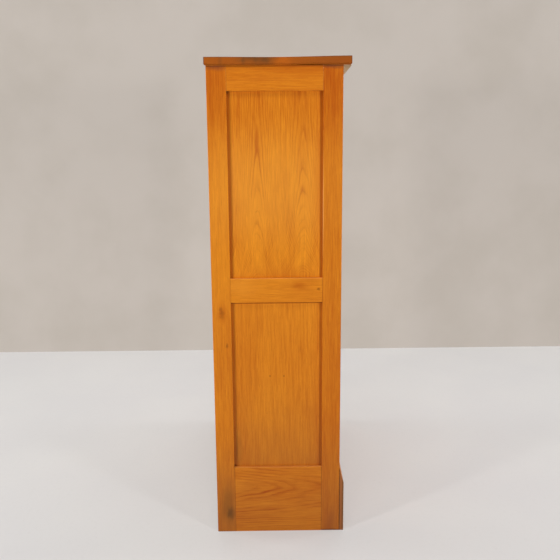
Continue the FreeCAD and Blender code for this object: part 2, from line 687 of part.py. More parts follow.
def make_strike(head_rail):
    """The plate under the head rail with the slot that the hook enters, and the rail with its pocket."""
    slot_left = HOOK_PIVOT_X - HOOK_WIDTH / 2 - HOOK_ROOM
    slot_right = hook_slot_end(HOOK_PIVOT_DROP + CLOSING_GAP)
    half_slot = HOOK_THICK / 2 + HOOK_ROOM / 2
    slot_y = (HOOK_MID_Y - half_slot, HOOK_MID_Y + half_slot)
    plate_top = HEAD_BOTTOM + STRIKE_THICK
    plate = block(
        slot_left - HOOK_NOSE - STRIKE_MARGIN,
        slot_right + STRIKE_MARGIN,
        HOOK_MID_Y - STRIKE_WIDTH / 2,
        HOOK_MID_Y + STRIKE_WIDTH / 2,
        HEAD_BOTTOM,
        plate_top,
    )
    pocket = block(
        slot_left - HOOK_NOSE - HOOK_ROOM,
        slot_right,
        *slot_y,
        plate_top,
        HOOK_PIVOT_Z + HOOK_SWEEP + HOOK_ROOM,
    )
    slot = block(slot_left, slot_right, *slot_y, HEAD_BOTTOM, plate_top)
    return {"head_rail": head_rail.cut([plate, pocket]), "strike_plate": plate.cut(slot)}


def make_key():
    """A key with a ring bow, a collar and a bit that hangs down when the lock is open."""
    collar_y = GRIP_FRONT_Y - ESCUTCHEON_THICK - KEY_PLAY
    bow_y = GRIP_FRONT_Y - KEY_BOW_STANDOFF
    tip_y = GRIP_BACK_Y - LOCK_WALL - KEY_PLAY
    half_bit = KEY_BIT_THICK / 2
    bow_side = point(-KEY_BOW_THICK / 2, bow_y, KEY_Z)
    bow = Part.makeCylinder(KEY_BOW_RADIUS, KEY_BOW_THICK, bow_side, point(1, 0, 0))
    bow = bow.cut(Part.makeCylinder(KEY_BOW_EYE, KEY_BOW_THICK, bow_side, point(1, 0, 0)))
    shank = rod(KEY_SHANK_RADIUS, bow_y + (KEY_BOW_EYE + KEY_BOW_RADIUS) / 2, tip_y, 0, KEY_Z)
    collar = rod(KEY_COLLAR_RADIUS, collar_y - KEY_COLLAR_LENGTH, collar_y, 0, KEY_Z)
    bit = block(-half_bit, half_bit, tip_y - KEY_BIT_WIDTH, tip_y, KEY_Z - KEY_BIT_REACH, KEY_Z)
    return shank.fuse([bow, collar, bit]).removeSplitter()


def make_escutcheon():
    """A plate with round ends that lines the keyhole."""
    radius = ESCUTCHEON_WIDTH / 2
    straight = ESCUTCHEON_HEIGHT / 2 - radius
    y0 = GRIP_FRONT_Y - ESCUTCHEON_THICK
    plate = block(-radius, radius, y0, GRIP_FRONT_Y, KEY_Z - straight, KEY_Z + straight)
    for end in (KEY_Z - straight, KEY_Z + straight):
        plate = plate.fuse(rod(radius, y0, GRIP_FRONT_Y, 0, end))
    return plate.removeSplitter().cut(keyhole(y0, GRIP_FRONT_Y, KEYHOLE_RADIUS))


def make_pull(middle_x):
    """A cup pull: a quarter-round shell with rounded ends, open below, between two screw ears."""
    bottom = GRIP_TOP - PULL_DROP
    inner = PULL_RADIUS - PULL_WALL
    half = PULL_STRAIGHT / 2
    diagonal = math.sqrt(0.5)

    def on_arc(radius, across, up):
        return point(middle_x - half, GRIP_FRONT_Y - radius * across, bottom + radius * up)

    outer_arc = Part.Arc(on_arc(PULL_RADIUS, 0, 1), on_arc(PULL_RADIUS, diagonal, diagonal), on_arc(PULL_RADIUS, 1, 0))
    inner_arc = Part.Arc(on_arc(inner, 1, 0), on_arc(inner, diagonal, diagonal), on_arc(inner, 0, 1))
    lip = Part.makeLine(on_arc(PULL_RADIUS, 1, 0), on_arc(inner, 1, 0))
    root = Part.makeLine(on_arc(inner, 0, 1), on_arc(PULL_RADIUS, 0, 1))
    section = Part.Face(Part.Wire([outer_arc.toShape(), lip, inner_arc.toShape(), root]))
    shell = section.extrude(point(PULL_STRAIGHT, 0, 0))
    left_end = section.revolve(point(middle_x - half, GRIP_FRONT_Y, bottom), point(0, 0, 1), -90)
    far_section = section.translated(point(PULL_STRAIGHT, 0, 0))
    right_end = far_section.revolve(point(middle_x + half, GRIP_FRONT_Y, bottom), point(0, 0, 1), 90)
    ear_low = bottom + (PULL_RADIUS - PULL_EAR_HEIGHT) / 2
    ear_y = (GRIP_FRONT_Y - PULL_WALL, GRIP_FRONT_Y)
    ears = []
    holes = []
    for side in (-1, 1):
        start = half + inner
        tip = half + PULL_RADIUS + PULL_EAR_LENGTH
        ends = sorted((middle_x + side * start, middle_x + side * tip))
        ears.append(block(*ends, *ear_y, ear_low, ear_low + PULL_EAR_HEIGHT))
        hole_x = middle_x + side * (tip - PULL_EAR_LENGTH / 2)
        holes.append(rod(PULL_HOLE_RADIUS, *ear_y, hole_x, ear_low + PULL_EAR_HEIGHT / 2))
    return shell.fuse([left_end, right_end] + ears).removeSplitter().cut(holes)


def make_all():
    """Every node's shape by name."""
    rails, cross_mortises = make_cross_rails()
    pieces = {}
    for name, shape in make_left_side(cross_mortises).items():
        pieces[f"left_{name}"] = shape
        pieces[f"right_{name}"] = mirrored(shape)
    pieces["top_board"] = make_top_board()
    pieces["cornice_moulding"] = make_cornice()
    pieces["plinth_board"] = make_plinth()
    pieces["plinth_blocks"] = Part.makeCompound(make_plinth_blocks())
    pieces["top_blocks"] = Part.makeCompound(make_top_blocks())
    pieces["threshold_rail"] = rails["threshold_rail"]
    pieces.update(make_strike(rails["head_rail"]))
    pieces.update(make_back({name: rails[name] for name in ("rear_top_rail", "rear_bottom_rail")}))
    pieces.update(make_bottom())
    pieces.update(make_shelves())
    pieces.update(make_curtain())
    pieces["grip_rail"] = make_grip_rail()
    pieces["cup_pulls"] = Part.makeCompound([make_pull(-PULL_SPACING / 2), make_pull(PULL_SPACING / 2)])
    pieces.update(make_lock())
    pieces["key"] = make_key()
    pieces["escutcheon"] = make_escutcheon()
    return pieces


os.makedirs("parts", exist_ok=True)
for node, solid in make_all().items():
    solid.exportStep(f"parts/{node}.step")
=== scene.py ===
# %% [markdown]
# # A tambour cabinet, dressed around its CAD frame
#
# An oak office cabinet: two framed and panelled sides, a thick top, and a curtain of slats that slides down
# in front and disappears behind a false back. The CAD model gives every board its place; this file adds
# what it leaves out: eased edges, grain, lacquer, wear, canvas, brass and light.

# %% Load the frame
import random
from math import atan2, cos, exp, pi, radians, sin

import bmesh
import bpy
from mathutils import Matrix, Vector


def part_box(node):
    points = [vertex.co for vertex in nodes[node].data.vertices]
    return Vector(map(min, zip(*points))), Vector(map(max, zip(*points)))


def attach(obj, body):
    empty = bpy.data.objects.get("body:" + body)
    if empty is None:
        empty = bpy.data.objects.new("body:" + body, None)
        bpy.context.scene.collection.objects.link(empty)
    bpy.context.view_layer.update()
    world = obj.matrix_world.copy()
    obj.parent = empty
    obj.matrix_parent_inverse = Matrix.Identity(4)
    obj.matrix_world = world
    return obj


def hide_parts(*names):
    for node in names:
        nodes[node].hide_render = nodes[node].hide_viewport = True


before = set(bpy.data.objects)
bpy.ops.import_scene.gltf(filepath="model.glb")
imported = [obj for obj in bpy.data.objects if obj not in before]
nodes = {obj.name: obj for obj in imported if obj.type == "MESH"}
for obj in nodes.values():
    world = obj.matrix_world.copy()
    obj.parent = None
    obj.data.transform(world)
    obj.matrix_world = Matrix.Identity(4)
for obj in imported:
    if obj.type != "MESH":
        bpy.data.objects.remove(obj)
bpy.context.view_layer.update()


def rounded(values):
    return [round(value, 4) for value in values]


# %% [markdown]
# ## The camera
#
# The picture was taken square to one side, from a little below the top and about 2.4 m away. A camera can
# be placed by eye, but the side's edges are known in millimetres: these numbers come from matching them, so
# each board falls on the pixels that it has in the picture.

# %% Camera
IMAGE_PIXELS, FOCAL_PIXELS, SENSOR_WIDTH = 560, 760, 36
EYE = Vector((-2.872, 0.024, 1.427))
YAW, PITCH, ROLL = 0.61, 12.57, -0.44


def add_object(name, data):
    made = bpy.data.objects.new(name, data)
    bpy.context.scene.collection.objects.link(made)
    return made


camera = add_object("camera", bpy.data.cameras.new("camera"))
camera.data.sensor_width = SENSOR_WIDTH
camera.data.lens = SENSOR_WIDTH * FOCAL_PIXELS / IMAGE_PIXELS
stand = Matrix.Translation(EYE)
for angle, axis in ((-90 - YAW, "Z"), (90 - PITCH, "X"), (ROLL, "Z")):
    stand = stand @ Matrix.Rotation(radians(angle), 4, axis)
camera.matrix_world = stand
bpy.context.scene.camera = camera
print("lens", round(camera.data.lens, 2), "mm, eye at", rounded(EYE))

# %% [markdown]
# ## Short words for node trees
#
# Every finish below is a tree of nodes, and placing them one by one takes many lines. A small class keeps
# the recipes short: `add` places a node, fills its inputs and returns its outputs, and a value that is
# itself a socket is linked. The other words are the nodes that wood needs most.

# %% Node helpers
# A Mix node's colour sockets go by number, because its other sockets share their names
MIX_UNDER, MIX_OVER, MIX_RESULT = 6, 7, 2


class Web:
    """A node tree with short words for its nodes."""

    def __init__(self, tree):
        self.tree = tree

    def fill(self, sockets, values):
        """Fills sockets, in order or by name: an output socket is linked, a plain value is set."""
        for socket, value in values.items() if isinstance(values, dict) else enumerate(values):
            if isinstance(value, bpy.types.NodeSocket):
                self.tree.links.new(value, sockets[socket])
            else:
                sockets[socket].default_value = value

    def add(self, kind, values=(), **settings):
        """Adds a node, a shader node unless its full name is given, and returns its outputs."""
        made = self.tree.nodes.new(kind if "Node" in kind else f"ShaderNode{kind}")
        for name, setting in settings.items():
            setattr(made, name, setting)
        self.fill(made.inputs, values)
        return made.outputs

    def close(self, values):
        """Fills what a group puts out, and says how large the group is."""
        self.fill(self.tree.nodes["Group Output"].inputs, values)
        print(self.tree.name, "has", len(self.tree.nodes), "nodes")

    def use(self, group, values):
        return self.add("Group", values, node_tree=group.tree)

    def maths(self, operation, *terms, clamp=False):
        return self.add("Math", terms, operation=operation, use_clamp=clamp)[0]

    def times(self, one, other, plus=0):
        return self.maths("MULTIPLY_ADD", one, other, plus)

    def swing(self, mask):
        """0 to 1 becomes -0.5 to 0.5."""
        return self.maths("SUBTRACT", mask, 0.5)

    def vector(self, operation, *terms, out="Vector"):
        return self.add("VectorMath", terms, operation=operation)[out]

    def parts(self, vector):
        return self.add("SeparateXYZ", [vector])

    def joined(self, *parts):
        return self.add("CombineXYZ", parts)[0]

    def ramp(self, value, start, end, low=0, high=1):
        """Goes smoothly from low to high while the value goes from start to end."""
        sockets = (value, start, end, low, high)
        return self.add("MapRange", sockets, interpolation_type="SMOOTHSTEP")[0]

    def noise(self, place, scale, detail=2, roughness=0.5):
        """Soft noise, with `scale` waves to a metre."""
        sockets = {"Vector": place, "Scale": scale, "Detail": detail, "Roughness": roughness}
        return self.add("TexNoise", sockets)["Fac"]

    def tint(self, amount, under, over, clamp=True):
        """Lays a colour over another. Unclamped, an amount below 0 goes past the first."""
        sockets = {"Factor": amount, MIX_UNDER: under, MIX_OVER: over}
        return self.add("Mix", sockets, data_type="RGBA", clamp_factor=clamp)[MIX_RESULT]

    def bump(self, height, strength, distance):
        return self.add("Bump", {"Height": height, "Strength": strength, "Distance": distance})[0]


print("words:", ", ".join(word for word in vars(Web) if "_" not in word))

# %% New trees and materials
def start_tree(name, inputs, outputs, kind="ShaderNodeTree"):
    """A node group with named sockets: its web, and what it takes in."""
    tree = bpy.data.node_groups.new(name, kind)
    for direction, sockets in (("INPUT", inputs), ("OUTPUT", outputs)):
        for label, socket in sockets.items():
            tree.interface.new_socket(label, in_out=direction, socket_type=f"NodeSocket{socket}")
    tree.nodes.new("NodeGroupOutput")
    return Web(tree), tree.nodes.new("NodeGroupInput").outputs


def start_group(name, places, values, masks):
    """A shader group whose places, plain values and masks are named in words."""
    inputs = {**dict.fromkeys(places.split(), "Vector"), **dict.fromkeys(values.split(), "Float")}
    return start_tree(name, inputs, dict.fromkeys(masks.split(), "Float"))


def new_material(name):
    """A material, its web, its shader's inputs and the Object coordinates."""
    material = bpy.data.materials.new(name)
    material.use_nodes = True
    web = Web(material.node_tree)
    shader = material.node_tree.nodes["Principled BSDF"].inputs
    return material, web, shader, web.add("TexCoord")["Object"]


print("made start_tree, start_group and new_material")

# %% [markdown]
# ## How oak grows
#
# A board is a slice of a tree, so its figure is made as the tree makes it: rings round a heart, wider at
# the foot, wandering a little on their way up. Cut beside the heart they show as straight lines, and cut
# across their tops as the pointed arches called cathedrals. A picture of wood could be wrapped round the
# board, but it would not meet at the corners. This group takes a place in the tree, in metres from the
# heart with Z along the grain, and gives rings, the streaks between them, fine fibre, broad changes of tone
# and open pores. `Flare` spreads the rings near the foot, as roots do.

# %% Oak growth group
ROLLING, DRAWN_OUT = (1, 1, 0.16), (1, 1, 0.06)
QUICK_SHARE, FLARE_HEIGHT = 0.12, 0.11
STREAK_BESIDE, STREAK_ALONG = 0.35, 0.05
# Each noise: waves to a metre, detail, roughness
SLOW_BENDS, QUICK_BENDS, PATCHES, PORES = (9, 1.5), (48, 2), (30, 2), (1300, 1)
STREAKS, FIBRES, TONES = (125, 3, 0.55), (300, 3, 0.65), (11, 6, 0.62)
# Each ramp: where it starts and ends, then what it gives there
SPRING, AUTUMN, GOOD_YEARS = (0, 0.5, 1, 0), (0.82, 1, 0, 1), (0.1, 1, 0.1, 1)
COME_AND_GO, PORE_CUT, PORES_IN_LINES = (0.35, 0.65, 0.25, 1), (0.6, 0.7), (0, 1, 0.3, 1)

oak, oak_in = start_group("oak_growth", "Wood", "Ring Taper Flare Wander",
                          "Rings Streak Fibre Tone Pores")
wood = oak_in["Wood"]
across, beside, along = oak.parts(wood)
rolling = oak.vector("MULTIPLY", wood, ROLLING)
drawn_out = oak.vector("MULTIPLY", wood, DRAWN_OUT)
radius = oak.maths("SQRT", oak.times(beside, beside, oak.times(across, across)))
slow_bend = oak.swing(oak.noise(rolling, *SLOW_BENDS))
bends = oak.times(oak.swing(oak.noise(rolling, *QUICK_BENDS)), QUICK_SHARE, slow_bend)
grown = oak.times(bends, oak_in["Wander"], radius)
grown = oak.times(along, oak_in["Taper"], grown)
above_foot = oak.maths("MAXIMUM", along, 0)
fading = oak.maths("EXPONENT", oak.maths("DIVIDE", above_foot, -FLARE_HEIGHT))
grown = oak.maths("SUBTRACT", grown, oak.times(fading, oak_in["Flare"]))

year = oak.maths("DIVIDE", grown, oak_in["Ring"])
season = oak.maths("FRACT", year)
line = oak.maths("MAXIMUM", oak.ramp(season, *SPRING), oak.ramp(season, *AUTUMN))
good_year = oak.add("TexWhiteNoise", {"W": oak.maths("FLOOR", year)}, noise_dimensions="1D")[0]
rings = oak.times(line, oak.ramp(good_year, *GOOD_YEARS))
come_and_go = oak.ramp(oak.noise(rolling, *PATCHES), *COME_AND_GO)
with_rings = oak.joined(grown, oak.times(beside, STREAK_BESIDE), oak.times(along, STREAK_ALONG))
open_pore = oak.ramp(oak.noise(drawn_out, *PORES), *PORE_CUT)
oak.close({
    "Rings": oak.times(rings, come_and_go),
    "Streak": oak.noise(with_rings, *STREAKS),
    "Fibre": oak.noise(drawn_out, *FIBRES),
    "Tone": oak.noise(rolling, *TONES),
    "Pores": oak.times(open_pore, oak.ramp(line, *PORES_IN_LINES)),
})

# %% [markdown]
# ## Arrises and sawn ends
#
# Wear and dirt gather along a board's edges, and its sawn ends drink more stain than its faces. An edge can
# be found from the mesh, but a board is nearly a box, so this group measures it: the second nearest of the
# six faces says how far the closest arris is, in metres. It also gives the distance from the sawn ends, the
# sides in Y and the upper edge, from which painted shade and highlights are laid too.

# %% Board edge group
arris, arris_in = start_group("board_edge", "Place Low High Along", "", "Edge End Side Upper")
from_low = arris.vector("SUBTRACT", arris_in["Place"], arris_in["Low"])
from_high = arris.vector("SUBTRACT", arris_in["High"], arris_in["Place"])
inside = arris.vector("MINIMUM", from_low, from_high)
in_x, in_y, in_z = arris.parts(inside)
nearer, farther = arris.maths("MINIMUM", in_x, in_y), arris.maths("MAXIMUM", in_x, in_y)
arris.close({
    "Edge": arris.maths("MINIMUM", farther, arris.maths("MAXIMUM", nearer, in_z)),
    "End": arris.vector("DOT_PRODUCT", inside, arris_in["Along"], out="Value"),
    "Side": in_y,
    "Upper": arris.parts(from_high)[2],
})

# %% [markdown]
# ## Old stains and painted spots
#
# A damp foot left a dark patch low on one stile, a spill stained the edge of the top, and a few small knots
# show. The same spots also lay painted shade under the top, on the panels near the frame, at the foot and
# beside the plinth, and a painted highlight along a stile's arris. Each could be drawn by itself, but all are
# the same thing at another size, a soft spot with a ragged rim, so one group makes them from a centre and
# three radii.

# %% Soft spot group
RAGGEDNESS, RAGGED_NOISE, SPOT_FADE = 0.6, (1.6, 3), (0.1, 1, 1, 0)

stain, soft_spot_in = start_group("soft_spots", "Place Centre Radii", "", "Spot")
shifted = stain.vector("SUBTRACT", soft_spot_in["Place"], soft_spot_in["Centre"])
from_centre = stain.vector("DIVIDE", shifted, soft_spot_in["Radii"])
ragged = stain.swing(stain.noise(from_centre, *RAGGED_NOISE))
distance = stain.times(ragged, RAGGEDNESS, stain.vector("LENGTH", from_centre, out="Value"))
stain.close({"Spot": stain.ramp(distance, *SPOT_FADE)})

# %% [markdown]
# ## Dirt and painted shade near the floor
#
# Mops and shoes darken the lowest part of a cabinet that stands on the floor, and painted shade darkens it
# too. A plain ramp would end in a ruled line, so this mask fades out upwards behind an uneven tide line.

# %% Floor dirt and shade group
TIDE_SWING, TIDE_NOISE = 0.16, (12, 4, 0.6)

tide, tide_in = start_group("floor_dirt_and_shade", "Place", "Reach", "DirtAndShade")
uneven = tide.swing(tide.noise(tide_in["Place"], *TIDE_NOISE))
tide_height = tide.times(uneven, TIDE_SWING, tide.parts(tide_in["Place"])[2])
tide.close({"DirtAndShade": tide.ramp(tide_height, 0, tide_in["Reach"], 1, 0)})

# %% [markdown]
# ## Timber
#
# The outer boards are oak under a clear lacquer that age has turned orange; inside are plain pale boards
# and thin plywood. Each could have a recipe of its own, but they share most numbers, so a small class holds
# what is usual and a board names what is its own. Every board has its own heart, the point that its rings
# grow round, so no two look alike.

# %% Palettes and boards
def paint(red, green, blue):
    """A screen colour, 0 to 255, as the linear value that shaders use."""
    channels = (value / 255 for value in (red, green, blue))
    return (*(c / 12.92 if c <= 0.04045 else ((c + 0.055) / 1.055) ** 2.4 for c in channels), 1)


DEEP_OAK, SHEEN_GOLD, DARK_CORNER = paint(174, 75, 0), paint(240, 168, 74), paint(70, 34, 4)
PORE_BROWN, STAIN_BROWN, DIRT_AND_SHADE_BROWN = paint(120, 58, 8), paint(88, 58, 26), paint(116, 64, 42)
LACQUERED_OAK = dict(pale=paint(229, 142, 31), deep=DEEP_OAK, sawn=paint(150, 82, 22), rough=0.42, coat=0.03)
DULL_LACQUER = {**LACQUERED_OAK, "rough": 0.62, "coat": 0}
INNER_WOOD = dict(pale=paint(214, 172, 116), deep=paint(176, 124, 72), sawn=paint(160, 112, 66), rough=0.6,
                  coat=0)
PLYWOOD = dict(pale=paint(190, 142, 88), deep=paint(140, 92, 50), sawn=paint(120, 84, 50), rough=0.62,
               coat=0, rub=paint(84, 56, 32))


class Board:
    """A board between two corners: what is usual, and its own values over it."""

    palette = LACQUERED_OAK
    # The tree: a ring's width, how it leans and flares, and how far it wanders, in metres
    ring, taper, flare, wander = 0.0045, 0.012, 0, 0.03
    # How strong rings, streaks and fibre are, and how dark the wood is
    figure, streak, fibre, depth = 0.35, 0.5, 0.85, 0.2
    # The Y where two leaves of veneer meet, and the attribute with a slat's own number
    leaf_seam = stick = None
    # Painted shade near the top and low down, and a painted sheen half-way up
    top_shade = shaded = sunned = 0
    # Marks of age and painted light, dirt and painted shade low down and how high they reach, and spots
    sawn, rub = 0.85, 0.3
    joint = rim = brow = corner = under = ledge = 0
    grime, reach, stains = 0.42, 0.42, ()

    def __init__(self, low, high, grain, heart, **own):
        vars(self).update(own, low=low, high=high, grain=grain, heart=tuple(heart))


print("usual board: a ring every", 1000 * Board.ring, "mm")

# %% [markdown]
# ## The wood itself
#
# A veneered panel has two leaves that open like a book, and every slat is a stick of its own, so a place on
# the board is first folded or moved to where it was cut from the tree. Then the layers of growth add up to
# one number, the darkness, which mixes the palette's two colours. Each layer could have its own colour, but
# wood under one lacquer stays on the line between two.

# %% Place in the tree
GRAIN_TURN = {"X": (0, radians(90), 0), "Y": (radians(-90), 0, 0), "Z": (0, 0, 0)}
LEAF_DEEPER, LEAF_SLIP = 0.004, 0.018
STICK_STEP = (5, 0.9, 1.3)


def stick_number(board, web):
    return web.add("Attribute", attribute_name=board.stick)["Fac"]


def in_the_tree(board, web, where):
    """The place in the tree that a place on the board was cut from."""
    place = where
    if board.leaf_seam is not None:
        deep, out, along = web.parts(web.vector("SUBTRACT", where, (0, board.leaf_seam, 0)))
        leaf = web.maths("SIGN", out)
        deeper, slipped = web.times(leaf, LEAF_DEEPER, deep), web.times(leaf, LEAF_SLIP, along)
        place = web.joined(deeper, web.maths("ABSOLUTE", out), slipped)
    if board.stick:
        step = {0: STICK_STEP, "Scale": stick_number(board, web)}
        place = web.vector("ADD", place, web.add("VectorMath", step, operation="SCALE")[0])
    turned = {"Vector": place, "Location": board.heart, "Rotation": GRAIN_TURN[board.grain]}
    return web.add("Mapping", turned, vector_type="TEXTURE")[0]


print("grain can run along", ", ".join(GRAIN_TURN))

# %% Bare wood
TONE_STRENGTH, PORE_SHADE, PALEST, DARKEST, STICK_TONES = 0.9, 0.28, -0.4, 1, (-0.14, 0.2)
# Heights, in metres, of the painted shade near the top and low down, and of the painted sheen half-way up
TOP_SHADE_RISE, SHADE_END = (1.2, 1.54), (0.6, 1)
SHEEN_RISE, SHEEN_END = (0.95, 1.15), (1.22, 1.44)


def bare_wood(board, web, growth, height):
    """The wood's colour, from its growth, with painted shade and a painted sheen by height."""
    darkness = web.times(growth["Rings"], board.figure, board.depth)
    for layer, strength in (("Streak", board.streak), ("Fibre", board.fibre), ("Tone", TONE_STRENGTH)):
        darkness = web.times(web.swing(growth[layer]), strength, darkness)
    # Painted shade: darker near the top and low down
    if board.top_shade:
        darkness = web.maths("ADD", darkness, web.ramp(height, *TOP_SHADE_RISE, 0, board.top_shade))
    if board.shaded:
        darkness = web.maths("ADD", darkness, web.ramp(height, *SHADE_END, board.shaded, 0))
    if board.stick:
        own_tone = web.ramp(stick_number(board, web), 0, 1, *STICK_TONES)
        darkness = web.maths("ADD", darkness, own_tone)
    darkness = web.maths("MINIMUM", web.maths("MAXIMUM", darkness, PALEST), DARKEST)
    colour = web.tint(darkness, board.palette["pale"], board.palette["deep"], clamp=False)
    colour = web.tint(web.times(growth["Pores"], PORE_SHADE), colour, PORE_BROWN)
    # A painted sheen: paler and more golden half-way up
    if board.sunned:
        sheen_amount = web.times(web.ramp(height, *SHEEN_RISE), web.ramp(height, *SHEEN_END, board.sunned, 0))
        colour = web.tint(sheen_amount, colour, SHEEN_GOLD)
    return colour


print("darkness can go from", PALEST, "to", DARKEST)

# %% [markdown]
# ## Age, use and painted light
#
# Over the wood lie the traces of years: stain in the sawn ends, arrises rubbed pale by hands, dark lines
# where boards meet, dirt and stains. Painted light lies with them: painted shade under the top, under the mid
# rail and in the panels' recesses, a painted highlight along the rails' upper edge, and on the oak a painted
# highlight in the pale of the rubbed arrises. They could be painted on an image, but measured from the
# board's own edges they fit any board and stay sharp close up.

# %% Age, use and painted light
# What each mark is measured from, where it starts to fade, where it is gone, and its colour
MARKS = {
    "sawn": ("End", 0.0008, 0.004, None),
    # Rubbed arrises; on the oak their pale line is partly a painted highlight
    "rub": ("Edge", 0.0005, 0.0035, None),
    "joint": ("End", 0.0012, 0.003, PORE_BROWN),
    "rim": ("Edge", 0.001, 0.0045, None),
    # Painted shade below the overhang of the top
    "brow": ("Upper", 0.0025, 0.0065, paint(112, 56, 2)),
    # Painted shade in the panels' recesses, beside the stiles
    "corner": ("Side", 0.006, 0.012, paint(150, 60, 0)),
    # Painted shade on the lower panel, under the mid rail
    "under": ("Upper", 0.0045, 0.007, paint(120, 54, 0)),
    # A painted highlight along the rails' upper edge
    "ledge": ("Upper", 0.0008, 0.0024, paint(246, 166, 84)),
}
PATCHY_NOISE, PATCHY_SPAN = (26, 3, 0.6), (0.42, 0.66)
RIM_CHANGE, RIM_GREY, RIM_BROWN = (0.01, 0.016), paint(96, 70, 50), paint(112, 54, 4)


def aged(board, web, where, colour):
    """Lays use, years, painted shade and painted highlights over the wood. Marks without a colour take the
    palette's.
    """
    low, high = tuple(board.low), tuple(board.high)
    along = [float(axis == board.grain) for axis in "XYZ"]
    measured = web.use(arris, {"Place": where, "Low": low, "High": high, "Along": along})
    own = {"rub": board.palette["pale"], **board.palette}
    if board.rim:
        own["rim"] = web.tint(web.ramp(measured["Upper"], *RIM_CHANGE), RIM_GREY, RIM_BROWN)
    for mark, (measure, near, far, mark_colour) in MARKS.items():
        strength = getattr(board, mark)
        if not strength:
            continue
        if mark == "rub":
            patchy = web.ramp(web.noise(where, *PATCHY_NOISE), *PATCHY_SPAN)
            strength = web.times(patchy, strength)
        amount = web.ramp(measured[measure], near, far, strength, 0)
        colour = web.tint(amount, colour, mark_colour or own[mark])
    # Darker towards the floor: dirt, and painted shade as well
    if board.grime:
        low_darkening = web.use(tide, {"Place": where, "Reach": board.reach})["DirtAndShade"]
        colour = web.tint(web.times(low_darkening, board.grime), colour, DIRT_AND_SHADE_BROWN)
    for *measures, strength, spot_colour in board.stains:
        y, z, deep, wide, tall = (measure / 1000 for measure in measures)
        spot = web.use(stain, {"Place": where, "Centre": (low[0], y, z), "Radii": (deep, wide, tall)})
        colour = web.tint(web.times(spot["Spot"], strength), colour, spot_colour)
    return colour


print("marks of age:", ", ".join(MARKS))

# %% Timber
STREAK_SPAN, ROUGH_SPREAD, PORE_ROUGH = (0.2, 0.8), (-0.04, 0.06), 0.18
FIBRE_RELIEF, RELIEF_STRENGTH, RELIEF_DEPTH = 0.35, 0.14, 0.0004
WOOD_SPECULAR, COAT_ROUGH = 0.16, 0.3


def timber(name, board):
    """The finish of one board. Its lacquer is duller over open pores."""
    material, web, shader, where = new_material(name)
    tree = {"Wood": in_the_tree(board, web, where), "Ring": board.ring, "Taper": board.taper,
            "Flare": board.flare, "Wander": board.wander}
    growth = web.use(oak, tree)
    wood = bare_wood(board, web, growth, web.parts(where)[2])
    smooth_to_rough = (board.palette["rough"] + more for more in ROUGH_SPREAD)
    rough = web.ramp(growth["Streak"], *STREAK_SPAN, *smooth_to_rough)
    relief = web.times(growth["Fibre"], FIBRE_RELIEF, web.times(growth["Pores"], -1))
    web.fill(shader, {
        "Base Color": aged(board, web, where, wood),
        "Roughness": web.maths("MULTIPLY_ADD", growth["Pores"], PORE_ROUGH, rough, clamp=True),
        "Normal": web.bump(relief, RELIEF_STRENGTH, RELIEF_DEPTH),
        "Specular IOR Level": WOOD_SPECULAR,
        "Coat Weight": board.palette["coat"],
        "Coat Roughness": COAT_ROUGH,
    })
    return material


print("grain in relief:", 1000 * RELIEF_DEPTH, "mm deep")

# %% [markdown]
# ## Eased arrises
#
# A joiner takes the sharp edge off every board with a sanding block, and that thin rounded line catches the
# light. It could be modelled in CAD, but modifiers are quicker to change: one joins the loose corners, and
# the other rounds whatever is sharper than 30 degrees.

# %% Dressing a CAD board
SHARP, SAME_CORNER = radians(30), 1e-5
dressed = []


def ease(piece, width, segments=2, limit="ANGLE"):
    rounding = piece.modifiers.new("eased arrises", "BEVEL")
    rounding.width = width
    rounding.segments = segments
    rounding.limit_method = limit
    rounding.angle_limit = SHARP


def dress(name, material, width=0.0012):
    """Gives a CAD piece its finish and eases its arrises."""
    piece = nodes[name]
    piece.data.materials.clear()
    piece.data.materials.append(material)
    piece.modifiers.new("joined corners", "WELD").merge_threshold = SAME_CORNER
    ease(piece, width)
    dressed.append(name)


print("bevels what is sharper than", round(SHARP, 2), "radians")

# %% [markdown]
# ## The two sides
#
# Each side is a frame: two stiles from floor to top, three rails between them, and two thin panels let into
# grooves. Stiles and rails are solid oak with quiet, straight grain; the upper panel is faced with two
# leaves of veneer opened like a book, so its cathedrals mirror each other. A heart a few centimetres behind
# the face gives cathedrals, and one far off to the side gives straight lines. The marks are those of the
# real side, with painted shade and highlights among them. The right side could be a copy, but no two trees
# grow alike, so it is cut higher up.

# %% Boards of the sides
SIDE_BOARDS = {
    "front_stile": dict(heart=(0.05, 0.1, -0.78), taper=0.03, wander=0.02, depth=0.34, figure=0.3, reach=0.5,
                        top_shade=0.45, brow=0.7, streak=0.4, sunned=0.06),
    "rear_stile": dict(heart=(0.1, -0.14, -0.78), wander=0.02, depth=0.22, figure=0.2, grime=0.5, reach=0.45,
                       top_shade=0.5, brow=0.7, streak=0.4, sunned=0.12),
    "top_rail": dict(heart=(0.05, 0.3, 0.06), wander=0.05, depth=0.42, figure=0.12, sawn=0, joint=0.3,
                     brow=0.7, streak=0.35),
    "mid_rail": dict(heart=(0.035, -0.3, 0.01), wander=0.06, depth=0.24, figure=0.24, sawn=0, joint=0.35,
                     ledge=0.5),
    "bottom_rail": dict(heart=(0.03, 0.087, 0.042), ring=0.009, taper=-0.07, wander=0.07, depth=0.22,
                        figure=0.5, grime=0.3, sawn=0, joint=0.6, ledge=0.4),
    "upper_panel": dict(heart=(0.022, 0.072, -0.2965), flare=0.06, depth=0.16, figure=0.56, leaf_seam=-0.004,
                        top_shade=0.3, corner=0.5, sunned=0.22, sawn=0.25, fibre=1),
    "lower_panel": dict(heart=(0.06, 0.2, -0.3), figure=0.25, grime=0.48, reach=0.62, corner=0.4, under=0.7,
                        sawn=0.25),
}
print("boards of a side:", ", ".join(SIDE_BOARDS))
